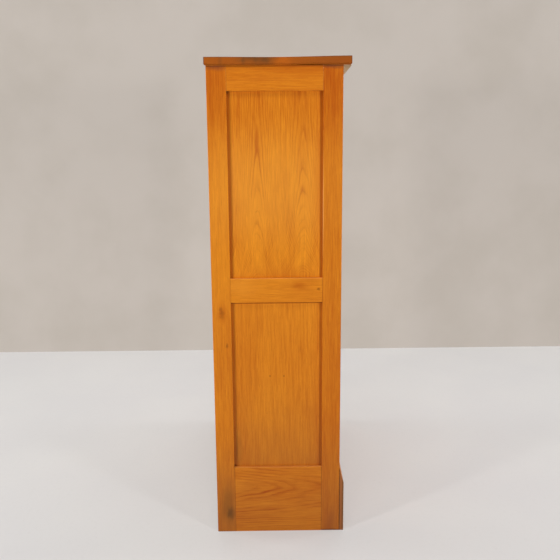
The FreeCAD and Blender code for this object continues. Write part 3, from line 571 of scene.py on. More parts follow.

# %% Stains and painted light of the side
# Each spot's place in Y and Z and its radii in X, Y and Z, in millimetres, then its strength and colour
SIDE_SPOTS = {
    "left_rear_stile": [
        (188, 784, 20, 26, 50, 0.45, DEEP_OAK),
        (192, 797, 20, 10, 11, 0.4, PORE_BROWN),
        (188, 785, 20, 13, 11, 0.45, PORE_BROWN),
        (189, 772, 20, 12, 12, 0.3, PORE_BROWN),
        (174, 673, 20, 6, 12, 0.6, PORE_BROWN),
        (183, 100, 50, 36, 110, 0.42, STAIN_BROWN),
        (175.5, 68, 50, 20, 34, 0.6, paint(76, 54, 28)),
        # Painted shade below the overhang of the top
        (186, 1557, 50, 45, 16, 0.5, DIRT_AND_SHADE_BROWN),
    ],
    "left_front_stile": [
        # Painted shade below the overhang of the top
        (-170, 1559, 50, 50, 13, 0.5, DIRT_AND_SHADE_BROWN),
        (-172, 30, 50, 30, 70, 0.3, paint(120, 60, 40)),
        # A painted contact shadow along the foot, where the stile meets the floor
        (-165, 0, 50, 60, 8, 0.6, paint(84, 46, 22)),
        # A painted highlight along the stile's inner arris
        (-139.5, 1120, 20, 3, 200, 0.6, paint(246, 174, 96)),
    ],
    "left_mid_rail": [
        (-63, 873, 20, 36, 18, 0.45, DEEP_OAK),
        (-126, 862.5, 20, 8.5, 6, 0.75, PORE_BROWN),
        (-80, 865, 20, 90, 60, 0.25, DEEP_OAK),
        (130, 875, 20, 90, 50, 0.3, paint(240, 156, 48)),
    ],
    # Painted shade below the overhang of the top
    "left_top_rail": [(-80, 1565, 50, 200, 50, 0.36, DEEP_OAK)],
    "left_bottom_rail": [(-139.5, 44, 20, 3.5, 22, 0.7, DARK_CORNER)],
    "left_upper_panel": [
        # Painted shade in the upper panel's rear top corner
        (158, 1484, 10, 8, 10, 0.8, DARK_CORNER),
        # Painted shade along the upper panel's front edge
        (-135, 1200, 20, 45, 400, 0.25, DEEP_OAK),
        # Painted shade low on the upper panel, above the mid rail
        (0, 895, 20, 200, 70, 0.2, DEEP_OAK),
    ],
    "left_lower_panel": [
        (34, 564, 10, 4.5, 4.5, 0.6, PORE_BROWN),
        (-12, 563.5, 10, 4.5, 4.5, 0.6, PORE_BROWN),
        # Painted shade in the lower panel's rear bottom corner
        (157, 243, 10, 10, 8, 0.55, DARK_CORNER),
        (145, 300, 10, 20, 100, 0.25, STAIN_BROWN),
    ],
}
print("stains on the side:", sum(len(rows) for rows in SIDE_SPOTS.values()))

# %% Side frames
PANEL_TONGUE, SIDE_SHADE, SIDE_EASE, RIGHT_HIGHER = 0.009, 0.16, 0.0005, 0.73
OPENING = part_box("left_front_stile")[1].y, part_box("left_rear_stile")[0].y


def side_board(name, inwards, higher, heart, **own):
    """Dresses a board whose heart is given from its middle: inwards, backwards, upwards."""
    low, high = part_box(name)
    deep, back, rise = heart
    heart = (low + high) / 2 + Vector((inwards * deep, back, rise + higher))
    if "leaf_seam" in own:
        heart.y = back
    if "stile" not in name:
        low.y, high.y = OPENING
    if "panel" in name:
        low.z, high.z = low.z + PANEL_TONGUE, high.z - PANEL_TONGUE
    grain = "Y" if "rail" in name else "Z"
    board = Board(low, high, grain, heart, stains=SIDE_SPOTS.get(name, ()), shaded=SIDE_SHADE, **own)
    dress(name, timber(f"oak {name}", board), SIDE_EASE)


for hand, inwards, higher in (("left", 1, 0), ("right", -1, RIGHT_HIGHER)):
    for part, cut in SIDE_BOARDS.items():
        side_board(f"{hand}_{part}", inwards, higher, **cut)
print("sides dressed:", len(dressed), "boards")

# %% [markdown]
# ## The worn top
#
# The top is a thick glued-up board that has cupped with the years: seen from the side its upper line dips a
# few millimetres in the middle, and in front of the middle it has let go of the rail below. A flat CAD slab
# can't show that, so this piece stands for it: two nets of points that follow the cup, closed all round,
# with arrises rounded by a bevel. It stays inside the slab that it replaces, and its lacquer has gone dull.

# %% Shape of the top
TOP_DIP, TOP_FALL = 0.0024, 0.0011
TOP_LIFT, LIFT_AT_Y, LIFT_SPREAD, LIFT_FROM_X, LIFT_GROWS = 0.0022, -0.1, 0.05, 0.36, 0.1
LOWER_ROUND, UPPER_SHARE = 0.0055, 0.28
STEPS_X, STEPS_Y = 24, 36
top_low, top_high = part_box("top_board")


def net(shape, rows, columns, point):
    """Faces between knots that the point function places. Returns the knots by row."""
    knots = [[shape.verts.new(point(r, c)) for c in range(columns + 1)] for r in range(rows + 1)]
    for r in range(rows):
        for c in range(columns):
            shape.faces.new([knots[r][c], knots[r + 1][c], knots[r + 1][c + 1], knots[r][c + 1]])
    return knots


def to_mesh(shape, name, outwards=True):
    if outwards:
        bmesh.ops.recalc_face_normals(shape, faces=shape.faces)
    mesh = bpy.data.meshes.new(name)
    shape.to_mesh(mesh)
    shape.free()
    return mesh


def top_point(step_x, step_y, upper):
    back = step_y / STEPS_Y
    x = top_low.x + (top_high.x - top_low.x) * step_x / STEPS_X
    y = top_low.y + (top_high.y - top_low.y) * back
    if upper:
        return (x, y, top_high.z - (TOP_DIP * sin(pi * back) ** 2 + TOP_FALL * back))
    near_end = min(1, max(0, (abs(x) - LIFT_FROM_X) / LIFT_GROWS))
    return (x, y, top_low.z + TOP_LIFT * exp(-(((y - LIFT_AT_Y) / LIFT_SPREAD) ** 2)) * near_end)


shape = bmesh.new()
upper = net(shape, STEPS_X, STEPS_Y, lambda i, j: top_point(i, j, True))
lower = net(shape, STEPS_X, STEPS_Y, lambda i, j: top_point(i, j, False))
rim = [(i, 0) for i in range(STEPS_X)] + [(STEPS_X, j) for j in range(STEPS_Y)]
rim += [(i, STEPS_Y) for i in range(STEPS_X, 0, -1)] + [(0, j) for j in range(STEPS_Y, 0, -1)]
for (i, j), (k, m) in zip(rim, rim[1:] + rim[:1]):
    shape.faces.new([upper[k][m], upper[i][j], lower[i][j], lower[k][m]])
bmesh.ops.recalc_face_normals(shape, faces=shape.faces)
share = shape.edges.layers.float.new("bevel_weight_edge")
for edge in shape.edges:
    if edge.calc_face_angle() > SHARP:
        underneath = all(corner.co.z < (top_low.z + top_high.z) / 2 for corner in edge.verts)
        edge[share] = 1.0 if underneath else UPPER_SHARE
top_mesh = to_mesh(shape, "worn_top")
print("top: dips", 1000 * TOP_DIP, "mm, lifts", 1000 * TOP_LIFT, "mm")

# %% Worn top
TOP_STAINS = [
    (64, 1590, 30, 85, 40, 0.7, STAIN_BROWN),
    (36, 1580, 30, 18, 20, 0.5, STAIN_BROWN),
    (68, 1582, 30, 10, 20, 0.35, STAIN_BROWN),
    (105, 1575, 30, 9, 20, 0.4, STAIN_BROWN),
    (175, 1575, 30, 10, 20, 0.3, STAIN_BROWN),
    (-16, 1573, 30, 40, 30, 0.4, paint(200, 100, 10)),
    (-190, 1575, 30, 170, 60, 0.5, paint(140, 70, 14)),
]


def finished(name, mesh, body, material, smooth, replaced=()):
    """Makes a mesh a piece: it rides on a body, names its finish and stands for CAD nodes."""
    piece = add_object(name, mesh)
    mesh.materials.clear()
    mesh.materials.append(material)
    mesh.polygons.foreach_set("use_smooth", [True] * len(mesh.polygons))
    mesh.set_sharp_from_angle(angle=radians(smooth))
    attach(piece, body)
    if replaced:
        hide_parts(*replaced)
    print(name, "has", len(mesh.polygons), "faces")
    return piece


top_palette = {**DULL_LACQUER, "sawn": paint(150, 72, 8)}
top_board = Board(top_low, top_high, "X", heart=(0, 0.03, 1.5), palette=top_palette, wander=0.04,
                  depth=0.3, figure=0.3, stains=TOP_STAINS, grime=0, rim=0.85)
top_oak = timber("oak top", top_board)
worn_top = finished("worn_top", top_mesh, "carcass", top_oak, smooth=30, replaced=["top_board"])
ease(worn_top, LOWER_ROUND, segments=3, limit="WEIGHT")

# %% [markdown]
# ## Boards across the front
#
# Cornice, plinth and rails run the width of the cabinet, so its side shows their sawn ends. End grain
# drinks stain and goes brown, but the little cornice was never stained at its end, so it shows bare grey
# wood. One wood could serve all, but with a heart for each no two show the same lines.

# %% Boards across the front
PLINTH_SPOTS = [
    (-212.5, 100, 20, 6, 300, 0.6, paint(96, 70, 40)),
    # A painted shadow line where the plinth's end meets the stile
    (-200.6, 100, 20, 2.4, 300, 0.8, DARK_CORNER),
]
grey_ended, brown_ended = ({**LACQUERED_OAK, "sawn": paint(*end)} for end in ((152, 136, 112), (158, 99, 58)))
CROSS_BOARDS = {
    "cornice_moulding": dict(heart=(0.2, -0.1, 1.46), palette=grey_ended, grime=0),
    "plinth_board": dict(heart=(-0.3, -0.15, 0.15), palette=brown_ended, wander=0.07, depth=0.3,
                         stains=PLINTH_SPOTS),
    "head_rail": dict(heart=(0.1, -0.12, 1.62), depth=0.3, grime=0),
    "threshold_rail": dict(heart=(0.1, -0.12, 0.12), depth=0.3),
    "grip_rail": dict(heart=(0.2, -0.13, 1.47), wander=0.05, depth=0.3, figure=0.4, rub=0.6, grime=0),
}
for name, cut in CROSS_BOARDS.items():
    dress(name, timber(f"oak {name}", Board(*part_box(name), "X", **cut)))
print("dressed", ", ".join(CROSS_BOARDS))

# %% [markdown]
# ## The slat curtain
#
# The curtain is fifty-two narrow slats with domed fronts, each a stick of its own with its own tone. They
# are one shape at one pitch, which is what Geometry Nodes are for: the object holds one slat, and the tree
# repeats it down a line of points. Each copy gets a random number, `stick`, that the finish reads to cut it
# from another part of the tree. The curtain moves in seven stretches, so there is one mesh for each.

# %% One slat
SLAT_HEIGHT, SLAT_PITCH, SLAT_ARRIS = 0.0246, 0.025, 0.0007
SLAT_DOME, DOME_STEPS, SAME_POINT = 0.003, 8, 1e-6
TONGUE_THICK, TONGUE_LENGTH = 0.008, 0.0095
slat_low, slat_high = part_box("grip_slats")
slat_tip, slat_back, slat_edge = slat_high.x, slat_high.y, slat_low.y + SLAT_DOME
tongue_front, shoulder = slat_back - TONGUE_THICK, slat_tip - TONGUE_LENGTH


def skin(shape, loops, closed=False):
    """Covers a row of loops of points. It ends in two flat caps, or in its own start."""
    rounds = [[shape.verts.new(point) for point in loop] for loop in loops]
    if closed:
        rounds.append(rounds[0])
    else:
        shape.faces.new(rounds[0])
        shape.faces.new(rounds[-1][::-1])
    for near, far in zip(rounds, rounds[1:]):
        for k in range(len(near)):
            m = (k + 1) % len(near)
            shape.faces.new([near[k], far[k], far[m], near[m]])


def slat_mesh():
    """One slat, its top at z = 0: a domed section, and beyond each shoulder a thinner tongue."""
    front = slat_edge + SLAT_ARRIS
    full = [(slat_back, -SLAT_HEIGHT), (slat_back, 0), (tongue_front, 0), (front, 0)]
    for share in (step / DOME_STEPS for step in range(DOME_STEPS + 1)):
        dome = SLAT_DOME * (1 - (2 * share - 1) ** 2)
        full.append((slat_edge - dome, -SLAT_ARRIS - (SLAT_HEIGHT - 2 * SLAT_ARRIS) * share))
    full += [(front, -SLAT_HEIGHT), (tongue_front, -SLAT_HEIGHT)]
    tongue = [(max(y, tongue_front), z) for y, z in full]
    left_end = [(-slat_tip, tongue), (-shoulder, tongue), (-shoulder, full)]
    stations = left_end + [(-x, section) for x, section in reversed(left_end)]
    shape = bmesh.new()
    skin(shape, [[(x, y, z) for y, z in section] for x, section in stations])
    bmesh.ops.remove_doubles(shape, verts=shape.verts, dist=SAME_POINT)
    return to_mesh(shape, "slat")


print("one slat:", rounded((2 * slat_tip, slat_back - slat_low.y, SLAT_HEIGHT)))

# %% Curtain tree
GEOMETRY = {"Geometry": "Geometry"}


def hand_over(web, copies, finish):
    """Ends a tree: the copies become real meshes in one finish."""
    real = web.add("GeometryNodeRealizeInstances", [copies])[0]
    web.close([web.add("GeometryNodeSetMaterial", {"Geometry": real, "Material": finish})[0]])


curtain, curtain_in = start_tree(
    "slat_curtain",
    {**GEOMETRY, "Count": "Int", "Pitch": "Float", "Top": "Float", "Seed": "Int", "Finish": "Material"},
    GEOMETRY, "GeometryNodeTree")
start = curtain.joined(0, 0, curtain_in["Top"])
down = curtain.joined(0, 0, curtain.times(curtain_in["Pitch"], -1))
hanging = {"Count": curtain_in["Count"], "Start Location": start, "Offset": down}
row = curtain.add("GeometryNodeMeshLine", hanging)[0]
copies = curtain.add("GeometryNodeInstanceOnPoints", {"Points": row, "Instance": curtain_in["Geometry"]})[0]
number = curtain.add("FunctionNodeRandomValue", {"Seed": curtain_in["Seed"]}, data_type="FLOAT")["Value"]
stick = {"Geometry": copies, "Name": "stick", "Value": number}
marked = curtain.add("GeometryNodeStoreNamedAttribute", stick, data_type="FLOAT", domain="INSTANCE")[0]
hand_over(curtain, marked, curtain_in["Finish"])

# %% Curtain
FIRST_SEED = 11
# The slats' box ends far below and above the curtain, so that none of its edges falls on a slat
FAR_BELOW, FAR_ABOVE = -1, 2
STRETCHES = ["grip"] + [f"group_{number}" for number in range(1, 7)]


def grow(name, mesh, tree, values):
    """Runs a tree on a mesh and returns the result as a plain mesh."""
    holder = add_object(name, mesh)
    modifier = holder.modifiers.new(tree.name, "NODES")
    modifier.node_group = tree
    for item in tree.interface.items_tree:
        if item.in_out == "INPUT" and item.name in values:
            modifier[item.identifier] = values[item.name]
    holder.update_tag()
    bpy.context.view_layer.update()
    result = bpy.data.meshes.new_from_object(holder.evaluated_get(bpy.context.evaluated_depsgraph_get()))
    holder.modifiers.remove(modifier)
    bpy.data.objects.remove(holder)
    result.name = name
    return result


curtain_box = Vector((-slat_tip, slat_low.y, FAR_BELOW)), Vector((slat_tip, slat_back, FAR_ABOVE))
slat_oak = timber("oak slats", Board(*curtain_box, "X", heart=(0.2, -0.14, 0.7), wander=0.02, figure=0.4,
                                     depth=0.22, grime=0, rub=0, stick="stick"))
for seed, stretch in enumerate(STRETCHES, FIRST_SEED):
    low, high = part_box(f"{stretch}_slats")
    count = round((high.z - low.z) / SLAT_PITCH)
    values = {"Count": count, "Pitch": SLAT_PITCH, "Top": high.z, "Seed": seed, "Finish": slat_oak}
    mesh = grow(f"{stretch}_slat_row", slat_mesh(), curtain.tree, values)
    finished(f"{stretch}_slat_row", mesh, f"tambour_{stretch}", slat_oak,
                                  smooth=40, replaced=[f"{stretch}_slats"])

# %% [markdown]
# ## The canvas
#
# Canvas glued to the backs of the slats makes them one curtain. It is a stretched sheet, so it needs no
# simulation: a net lies on the slats and sinks a little into each joint, where nothing holds it. The weave
# is two sets of threads crossing over and under each other, and it reads the sheet's UV map, in metres, so
# that the threads follow the cloth.

# %% Canvas finish
THREAD, CROSSING_SHADE, SLUBBY, SLUB_WAVES = 0.0011, 0.12, (1, 0.06, 1), 420
CLOTH_PALE, CLOTH_DARK, CLOTH_YELLOW = paint(196, 178, 142), paint(150, 130, 96), paint(150, 112, 62)
SHADE_SPAN, CLOTH_ROUGH = (0.3, 0.7), (0.95, 0.82)
YELLOW_NOISE, YELLOW_PATCHES = (7, 4, 0.6), (0.45, 0.75, 0, 0.5)

weave, weave_in = start_group("canvas_weave", "Cloth", "", "Height Shade")
cloth = weave_in["Cloth"]
warp, weft = (weave.maths("SINE", weave.times(way, pi / THREAD)) for way in weave.parts(cloth)[:2])
crossing = weave.times(warp, weft)
slub = weave.noise(weave.vector("MULTIPLY", cloth, SLUBBY), SLUB_WAVES)
weave.close({"Height": weave.ramp(crossing, -1, 1), "Shade": weave.times(crossing, CROSSING_SHADE, slub)})

canvas, web, shader, where = new_material("aged canvas")
woven = web.use(weave, {"Cloth": web.add("UVMap", uv_map="cloth")[0]})
colour = web.tint(web.ramp(woven["Shade"], *SHADE_SPAN), CLOTH_PALE, CLOTH_DARK)
yellowed = web.ramp(web.noise(where, *YELLOW_NOISE), *YELLOW_PATCHES)
web.fill(shader, {
    "Base Color": web.tint(yellowed, colour, CLOTH_YELLOW),
    "Roughness": web.ramp(woven["Height"], 0, 1, *CLOTH_ROUGH),
    "Normal": web.bump(woven["Height"], strength=0.5, distance=0.0003),
    "Specular IOR Level": 0.15,
})

# %% Canvas sheets
CLOTH_THICK, CLOTH_MIDDLE, CLOTH_SINK, CLOTH_FRAY = 0.0006, 0.00045, 0.00022, 0.0012
CLOTH_COLUMNS, ROWS_PER_SLAT = 44, 6


def canvas_sheet(stretch):
    """The cloth on the backs of one stretch of slats."""
    low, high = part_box(f"{stretch}_canvas")
    flat = (high.x - low.x, high.z - low.z)
    rows = ROWS_PER_SLAT * round(flat[1] / SLAT_PITCH)
    chance = random.Random(f"{stretch} selvedge")
    fray = {c: [inwards * chance.uniform(0, CLOTH_FRAY) for _ in range(rows + 1)]
            for c, inwards in ((0, 1), (CLOTH_COLUMNS, -1))}

    def knot(r, c):
        x = low.x + flat[0] * c / CLOTH_COLUMNS + (fray[c][r] if c in fray else 0)
        from_joint = abs(r / ROWS_PER_SLAT - round(r / ROWS_PER_SLAT)) * ROWS_PER_SLAT
        sink = CLOTH_SINK * exp(-from_joint**2) if 0 < r < rows else 0
        return (x, low.y + CLOTH_MIDDLE - sink, low.z + flat[1] * r / rows)

    shape = bmesh.new()
    uv = shape.loops.layers.uv.new("cloth")
    net(shape, rows, CLOTH_COLUMNS, knot)
    for loop in (loop for face in shape.faces for loop in face.loops):
        loop[uv].uv = (loop.vert.co.x, loop.vert.co.z)
    name = f"{stretch}_cloth"
    piece = finished(name, to_mesh(shape, name, outwards=False), f"tambour_{stretch}", canvas,
                     smooth=60, replaced=[f"{stretch}_canvas"])
    thick = piece.modifiers.new("cloth thickness", "SOLIDIFY")
    thick.thickness = CLOTH_THICK
    thick.offset = 0


for stretch in STRETCHES:
    canvas_sheet(stretch)

# %% [markdown]
# ## Brass and steel
#
# Pulls and keyhole plate are brass that hands have kept bright in the middle while the corners went brown;
# lock and key are plain steel with a grey film. Paint could look brown too, but a metal has its colour in
# the reflection: Metallic stays at 1 except where the film lies, and the film is rough and dull.

# %% Metal finishes
FILM_SIZE, FILM_DETAIL, FILM_EDGE, BARE_FROM, COVER_SHARE = 0.025, 5, 0.22, 0.82, 0.6
BRASS_EASE, STEEL_EASE = 0.0004, 0.0003
BRUSHED, SCRATCH_WAVES = (0.05, 1, 1), 1500
SCRATCH_ROUGH, FILM_ROUGH, FILM_METALLIC = 0.12, 0.25, 0.75

tarnish, tarnish_in = start_group("tarnish", "Place", "Cover", "Film Scratch")
cloud = tarnish.noise(tarnish_in["Place"], 1 / FILM_SIZE, FILM_DETAIL)
film_from = tarnish.times(tarnish_in["Cover"], -COVER_SHARE, BARE_FROM)
tarnish.close({
    "Film": tarnish.ramp(cloud, film_from, tarnish.maths("ADD", film_from, FILM_EDGE)),
    "Scratch": tarnish.noise(tarnish.vector("MULTIPLY", tarnish_in["Place"], BRUSHED), SCRATCH_WAVES),
})


def metal(name, bright, dull, cover, rough):
    material, web, shader, where = new_material(name)
    film, scratch = web.use(tarnish, {"Place": where, "Cover": cover})
    hazy = web.ramp(film, 0, 1, rough, rough + FILM_ROUGH)
    web.fill(shader, {
        "Base Color": web.tint(film, bright, dull),
        "Metallic": web.ramp(film, 0, 1, 1, FILM_METALLIC),
        "Roughness": web.times(scratch, SCRATCH_ROUGH, hazy),
        "Normal": web.bump(scratch, strength=0.15, distance=0.0001),
    })
    return material


brass = metal("handled brass", bright=paint(214, 176, 96), dull=paint(122, 88, 42), cover=0.5, rough=0.26)
steel = metal("dull steel", bright=paint(176, 174, 170), dull=paint(104, 98, 92), cover=0.55, rough=0.34)
for name in ("cup_pulls", "escutcheon", "strike_plate"):
    dress(name, brass, BRASS_EASE)
for name in ("lock_case", "lock_hook"):
    dress(name, steel, STEEL_EASE)
print("metals: brass and steel")

# %% [markdown]
# ## The key
#
# The CAD key is a flat washer on a rod. A real one is turned and forged: a ring of round wire, a moulded
# collar, a straight shank and a notched bit. It could be carved from one block, but three skins are
# simpler: the ring swept from an oval section, the shank turned round its axis, the bit cut from a plate.

# %% Key
BOW_REACH, BOW_RADIUS, WIRE_RADIUS, WIRE_HALF, BIT_HALF = 0.011, 0.00875, 0.00225, 0.0017, 0.0012
WIRE_STEPS, BOW_STEPS, SHANK_STEPS = 12, 40, 32
# Distance from the key's tip, and radius of the shank or height of the bit, in millimetres
SHANK = [(32.1, 2.4), (30.1, 3.1), (28.6, 3.1), (27.8, 2.4), (26.8, 2.4), (26.1, 3.6), (25.4, 4), (23.1, 4),
         (22.3, 3.6), (22.3, 2.5), (0.6, 2.5), (0, 2)]
BIT = [(7, 0), (7, -6), (4.8, -6), (4.8, -4.5), (3.4, -4.5), (3.4, -6), (0, -6), (0, 0)]
key_low, key_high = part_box("key")
key_tip, key_z = key_high.y, (key_low.z + key_high.z) / 2


def circle(steps):
    """The cosine and sine of each step round a circle."""
    angles = [2 * pi * step / steps for step in range(steps)]
    return [(cos(angle), sin(angle)) for angle in angles]


bow_y = key_low.y + BOW_REACH
wire = [(BOW_RADIUS + WIRE_RADIUS * out, WIRE_HALF * side) for out, side in circle(WIRE_STEPS)]
shape = bmesh.new()
bow = [[(x, bow_y + out * y, key_z + out * z) for out, x in wire] for y, z in circle(BOW_STEPS)]
skin(shape, bow, closed=True)
shank, bit = ([(y / 1000, out / 1000) for y, out in profile] for profile in (SHANK, BIT))
skin(shape, [[(r * x, key_tip - y, key_z + r * z) for x, z in circle(SHANK_STEPS)] for y, r in shank])
skin(shape, [[(x, key_tip - y, key_z + z) for y, z in bit] for x in (-BIT_HALF, BIT_HALF)])
key_mesh = to_mesh(shape, "forged_key")
finished("forged_key", key_mesh, "lock_key", steel, smooth=35, replaced=["key"])

# %% [markdown]
# ## Screws
#
# Slotted screws hold the pulls, the keyhole plate, the strike and the two back panels. Each is the same
# shape turned to some angle, so a tree sets them on marked points: a mark says which way its screw faces,
# and a seed turns the slots at random. The screw is made once: a domed head is cut along the planes of its
# slot, and the slot gets walls and a floor.

# %% Screw head
SCREW_DOME = [(1, 0), (0.97, 0.22), (0.84, 0.42), (0.62, 0.54)]
SLOT_HALF, SLOT_FLOOR, HEAD_STEPS, NEAR = 0.16, 0.26, 20, 1e-4
SLOT_PLANES = [((0, SLOT_HALF, 0), (0, 1, 0)), ((0, -SLOT_HALF, 0), (0, 1, 0)),
               ((0, 0, SLOT_FLOOR), (0, 0, 1))]


def screw_mesh():
    """A screw head of radius 1 on the plane z = 0, with a slot along X."""
    shape = bmesh.new()
    skin(shape, [[(radius * x, radius * y, lift) for x, y in circle(HEAD_STEPS)]
                 for radius, lift in SCREW_DOME])
    for point, normal in SLOT_PLANES:
        everything = shape.verts[:] + shape.edges[:] + shape.faces[:]
        bmesh.ops.bisect_plane(shape, geom=everything, dist=SAME_POINT, plane_co=point, plane_no=normal)
    middles = {face: face.calc_center_median() for face in shape.faces}
    in_slot = [face for face, at in middles.items() if abs(at.y) < SLOT_HALF and at.z > SLOT_FLOOR]
    bmesh.ops.delete(shape, geom=in_slot, context="FACES")
    for side in (-SLOT_HALF, SLOT_HALF):
        wall = [v for v in shape.verts if abs(v.co.y - side) < NEAR and v.co.z > SLOT_FLOOR - NEAR]
        shape.faces.new(sorted(wall, key=lambda v: v.co.x))
    floor = [v for v in shape.verts if abs(v.co.z - SLOT_FLOOR) < NEAR and abs(v.co.y) < SLOT_HALF + NEAR]
    shape.faces.new(sorted(floor, key=lambda v: atan2(v.co.y, v.co.x)))
    return to_mesh(shape, "screw")


one_screw = add_object("screw_pattern", screw_mesh())
print("screw:", len(one_screw.data.polygons), "faces")

# %% Screw tree
screws, screws_in = start_tree(
    "screws_at_marks",
    {**GEOMETRY, "Screw": "Object", "Head Radius": "Float", "Seed": "Int", "Finish": "Material"},
    GEOMETRY, "GeometryNodeTree")
facing = screws.add("GeometryNodeInputNamedAttribute", {"Name": "facing"}, data_type="FLOAT_VECTOR")[0]
upright = screws.add("FunctionNodeAlignRotationToVector", {"Vector": facing}, axis="Z")[0]
any_turn = {"Max": pi, "Seed": screws_in["Seed"]}
slot_turn = screws.add("FunctionNodeRandomValue", any_turn, data_type="FLOAT")["Value"]
spun = screws.add("FunctionNodeEulerToRotation", [screws.joined(0, 0, slot_turn)])[0]
heads = {
    "Points": screws_in["Geometry"],
    "Instance": screws.add("GeometryNodeObjectInfo", {"Object": screws_in["Screw"]})["Geometry"],
    "Rotation": screws.add("FunctionNodeRotateRotation", [upright, spun], rotation_space="LOCAL")[0],
    "Scale": screws_in["Head Radius"],
}
copies = screws.add("GeometryNodeInstanceOnPoints", heads)[0]
hand_over(screws, copies, screws_in["Finish"])

# %% Screw marks
PULL_X, EAR_X, EAR_THICK, PULL_Z, PIN_REACH = 0.28, 0.053, 0.0016, 1.455, 0.0137
STRIKE_X, BACK_EDGE_X, BACK_MIDDLE_X = (-0.036, 0.0195), (0.014, 0.4555), (0.125, 0.235, 0.345)
BACK_FIRST, BACK_STEP, BACK_COUNT, BACK_INSET = 0.05, 0.18, 9, 0.03
ear_y, plate_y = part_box("cup_pulls")[1].y - EAR_THICK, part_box("escutcheon")[0].y
strike_low, strike_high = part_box("strike_plate")
back_low, back_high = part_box("back_panel_right")
up_edge = [back_low.z + BACK_FIRST + BACK_STEP * step for step in range(BACK_COUNT)]
ends = [back_low.z + BACK_INSET, back_high.z - BACK_INSET]
back_marks = [(hand * x, back_high.y, z) for xs, zs in ((BACK_EDGE_X, up_edge), (BACK_MIDDLE_X, ends))
              for hand in (-1, 1) for x in xs for z in zs]
pull_marks = [(pull + ear, ear_y, PULL_Z) for pull in (-PULL_X, PULL_X) for ear in (-EAR_X, EAR_X)]
pin_marks = [(0, plate_y, key_z + reach) for reach in (-PIN_REACH, PIN_REACH)]
strike_marks = [(x, (strike_low.y + strike_high.y) / 2, strike_low.z) for x in STRIKE_X]
print("marks for screws:", len(back_marks + pull_marks + pin_marks + strike_marks))

# %% Screws
# Marks, the way the screws face, head radius, body, finish, slot and seed
SCREW_SETS = {
    "pull_screws": (pull_marks, (0, -1, 0), 0.0032, "tambour_grip", brass, "brass", 3),
    "plate_pins": (pin_marks, (0, -1, 0), 0.0014, "tambour_grip", brass, "brass", 5),
    "strike_screws": (strike_marks, (0, 0, -1), 0.0026, "carcass", brass, "brass", 7),
    "back_screws": (back_marks, (0, 1, 0), 0.0036, "carcass", steel, "steel", 9),
}
for name, (marks, way, head_radius, body, finish, slot, seed) in SCREW_SETS.items():
    mesh = bpy.data.meshes.new(f"{name}_marks")
    mesh.from_pydata(marks, [], [])
    ways = mesh.attributes.new("facing", "FLOAT_VECTOR", "POINT")
    ways.data.foreach_set("vector", way * len(marks))
    values = {"Screw": one_screw, "Head Radius": head_radius, "Seed": seed, "Finish": finish}
    finished(name, grow(name, mesh, screws.tree, values), body, finish, smooth=35)
bpy.data.objects.remove(one_screw)

# %% [markdown]
# ## Inside and behind
#
# Behind the curtain are plain boards that nobody lacquered: shelves on notched racks, a bottom, glue blocks
# and cleats. The backs are rotary-cut plywood, where the knife peels round the trunk, so the figure is
# broad and wild; a large wander gives that. Hearts could be chosen by hand, but here a seed made of each
# board's name is enough.

# %% Inner boards
INNER_BOARDS = {
    "X": "shelf_1 shelf_2 shelf_3 shelf_4 bottom_board top_blocks rear_top_rail rear_bottom_rail",
    "Y": "bottom_cleats shelf_bearers",
    "Z": "shelf_racks plinth_blocks back_muntin",
}
PLY_BOARDS, PLY_EASE = ["back_panel_left", "back_panel_right", "false_back"], 0.0006
HEART_NEAR, HEART_FAR = 0.04, 0.12


def seeded_board(name, grain, **own):
    """A board whose heart lies a few centimetres from its middle, by a seed made of its name."""
    low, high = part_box(name)
    chance = random.Random(name)
    middle = (low + high) / 2
    heart = [at + chance.uniform(HEART_NEAR, HEART_FAR) * chance.choice((-1, 1)) for at in middle]
    return Board(low, high, grain, heart, **own)


for grain, names in INNER_BOARDS.items():
    for name in names.split():
        plain = seeded_board(name, grain, palette=INNER_WOOD, grime=0, figure=0.3)
        dress(name, timber(f"inner {name}", plain))
for name in PLY_BOARDS:
    ply = seeded_board(name, "Z", palette=PLYWOOD, ring=0.008, wander=0.22, figure=0.5, grime=0.3, rub=0.9)
    dress(name, timber(f"ply {name}", ply), PLY_EASE)
print("dressed so far:", len(dressed), "nodes")

# %% [markdown]
# ## Floor and wall
#
# The cabinet stands on a pale floor in front of a pale wall. Lamps alone could light them, but they would
# light the object too brightly, so an even glow is mixed in for what the camera sees. The wall is there for
# the picture alone: from behind it is clear, so that it hides nothing.

# %% Floor
FLOOR_HALF, FLOOR_FADE, FLOOR_GLOW, FLOOR_SHARE = 9, (2.2, 6), (1.38, 1.06), (0.42, 1)
FLOOR_PALE, FLOOR_PALER, SPECKLE_GREY = paint(203, 201, 200), paint(206, 204, 202), paint(172, 167, 161)
CLOUD_NOISE, CLOUD_SPAN = (1.6, 3), (0.3, 0.7)
SPECKLE_NOISE, SPECKLE_SPAN = (60, 5, 0.7), (0.5, 0.8, 0, 0.12)


def stage_plane(name, corners, web, material, shader):
    web.fill(web.tree.nodes["Material Output"].inputs, {"Surface": shader})
    mesh = bpy.data.meshes.new(name)
    mesh.from_pydata(corners, [], [(0, 1, 2, 3)])
    mesh.materials.append(material)
    add_object(name, mesh)


def seen_ray(web):
    """1 for rays that show a surface to the camera, straight or in metal, and 0 for rays that carry light."""
    ray = web.add("LightPath")
    mirrored = web.maths("MAXIMUM", ray["Is Glossy Ray"], ray["Is Transmission Ray"])
    return web.maths("MAXIMUM", ray["Is Camera Ray"], mirrored)


def backdrop(web, colour, strength, share):
    glow = web.add("Emission", {"Color": colour, "Strength": strength})[0]
    plain = web.tree.nodes["Principled BSDF"].outputs[0]
    return web.add("MixShader", [web.times(seen_ray(web), share), plain, glow])[0]


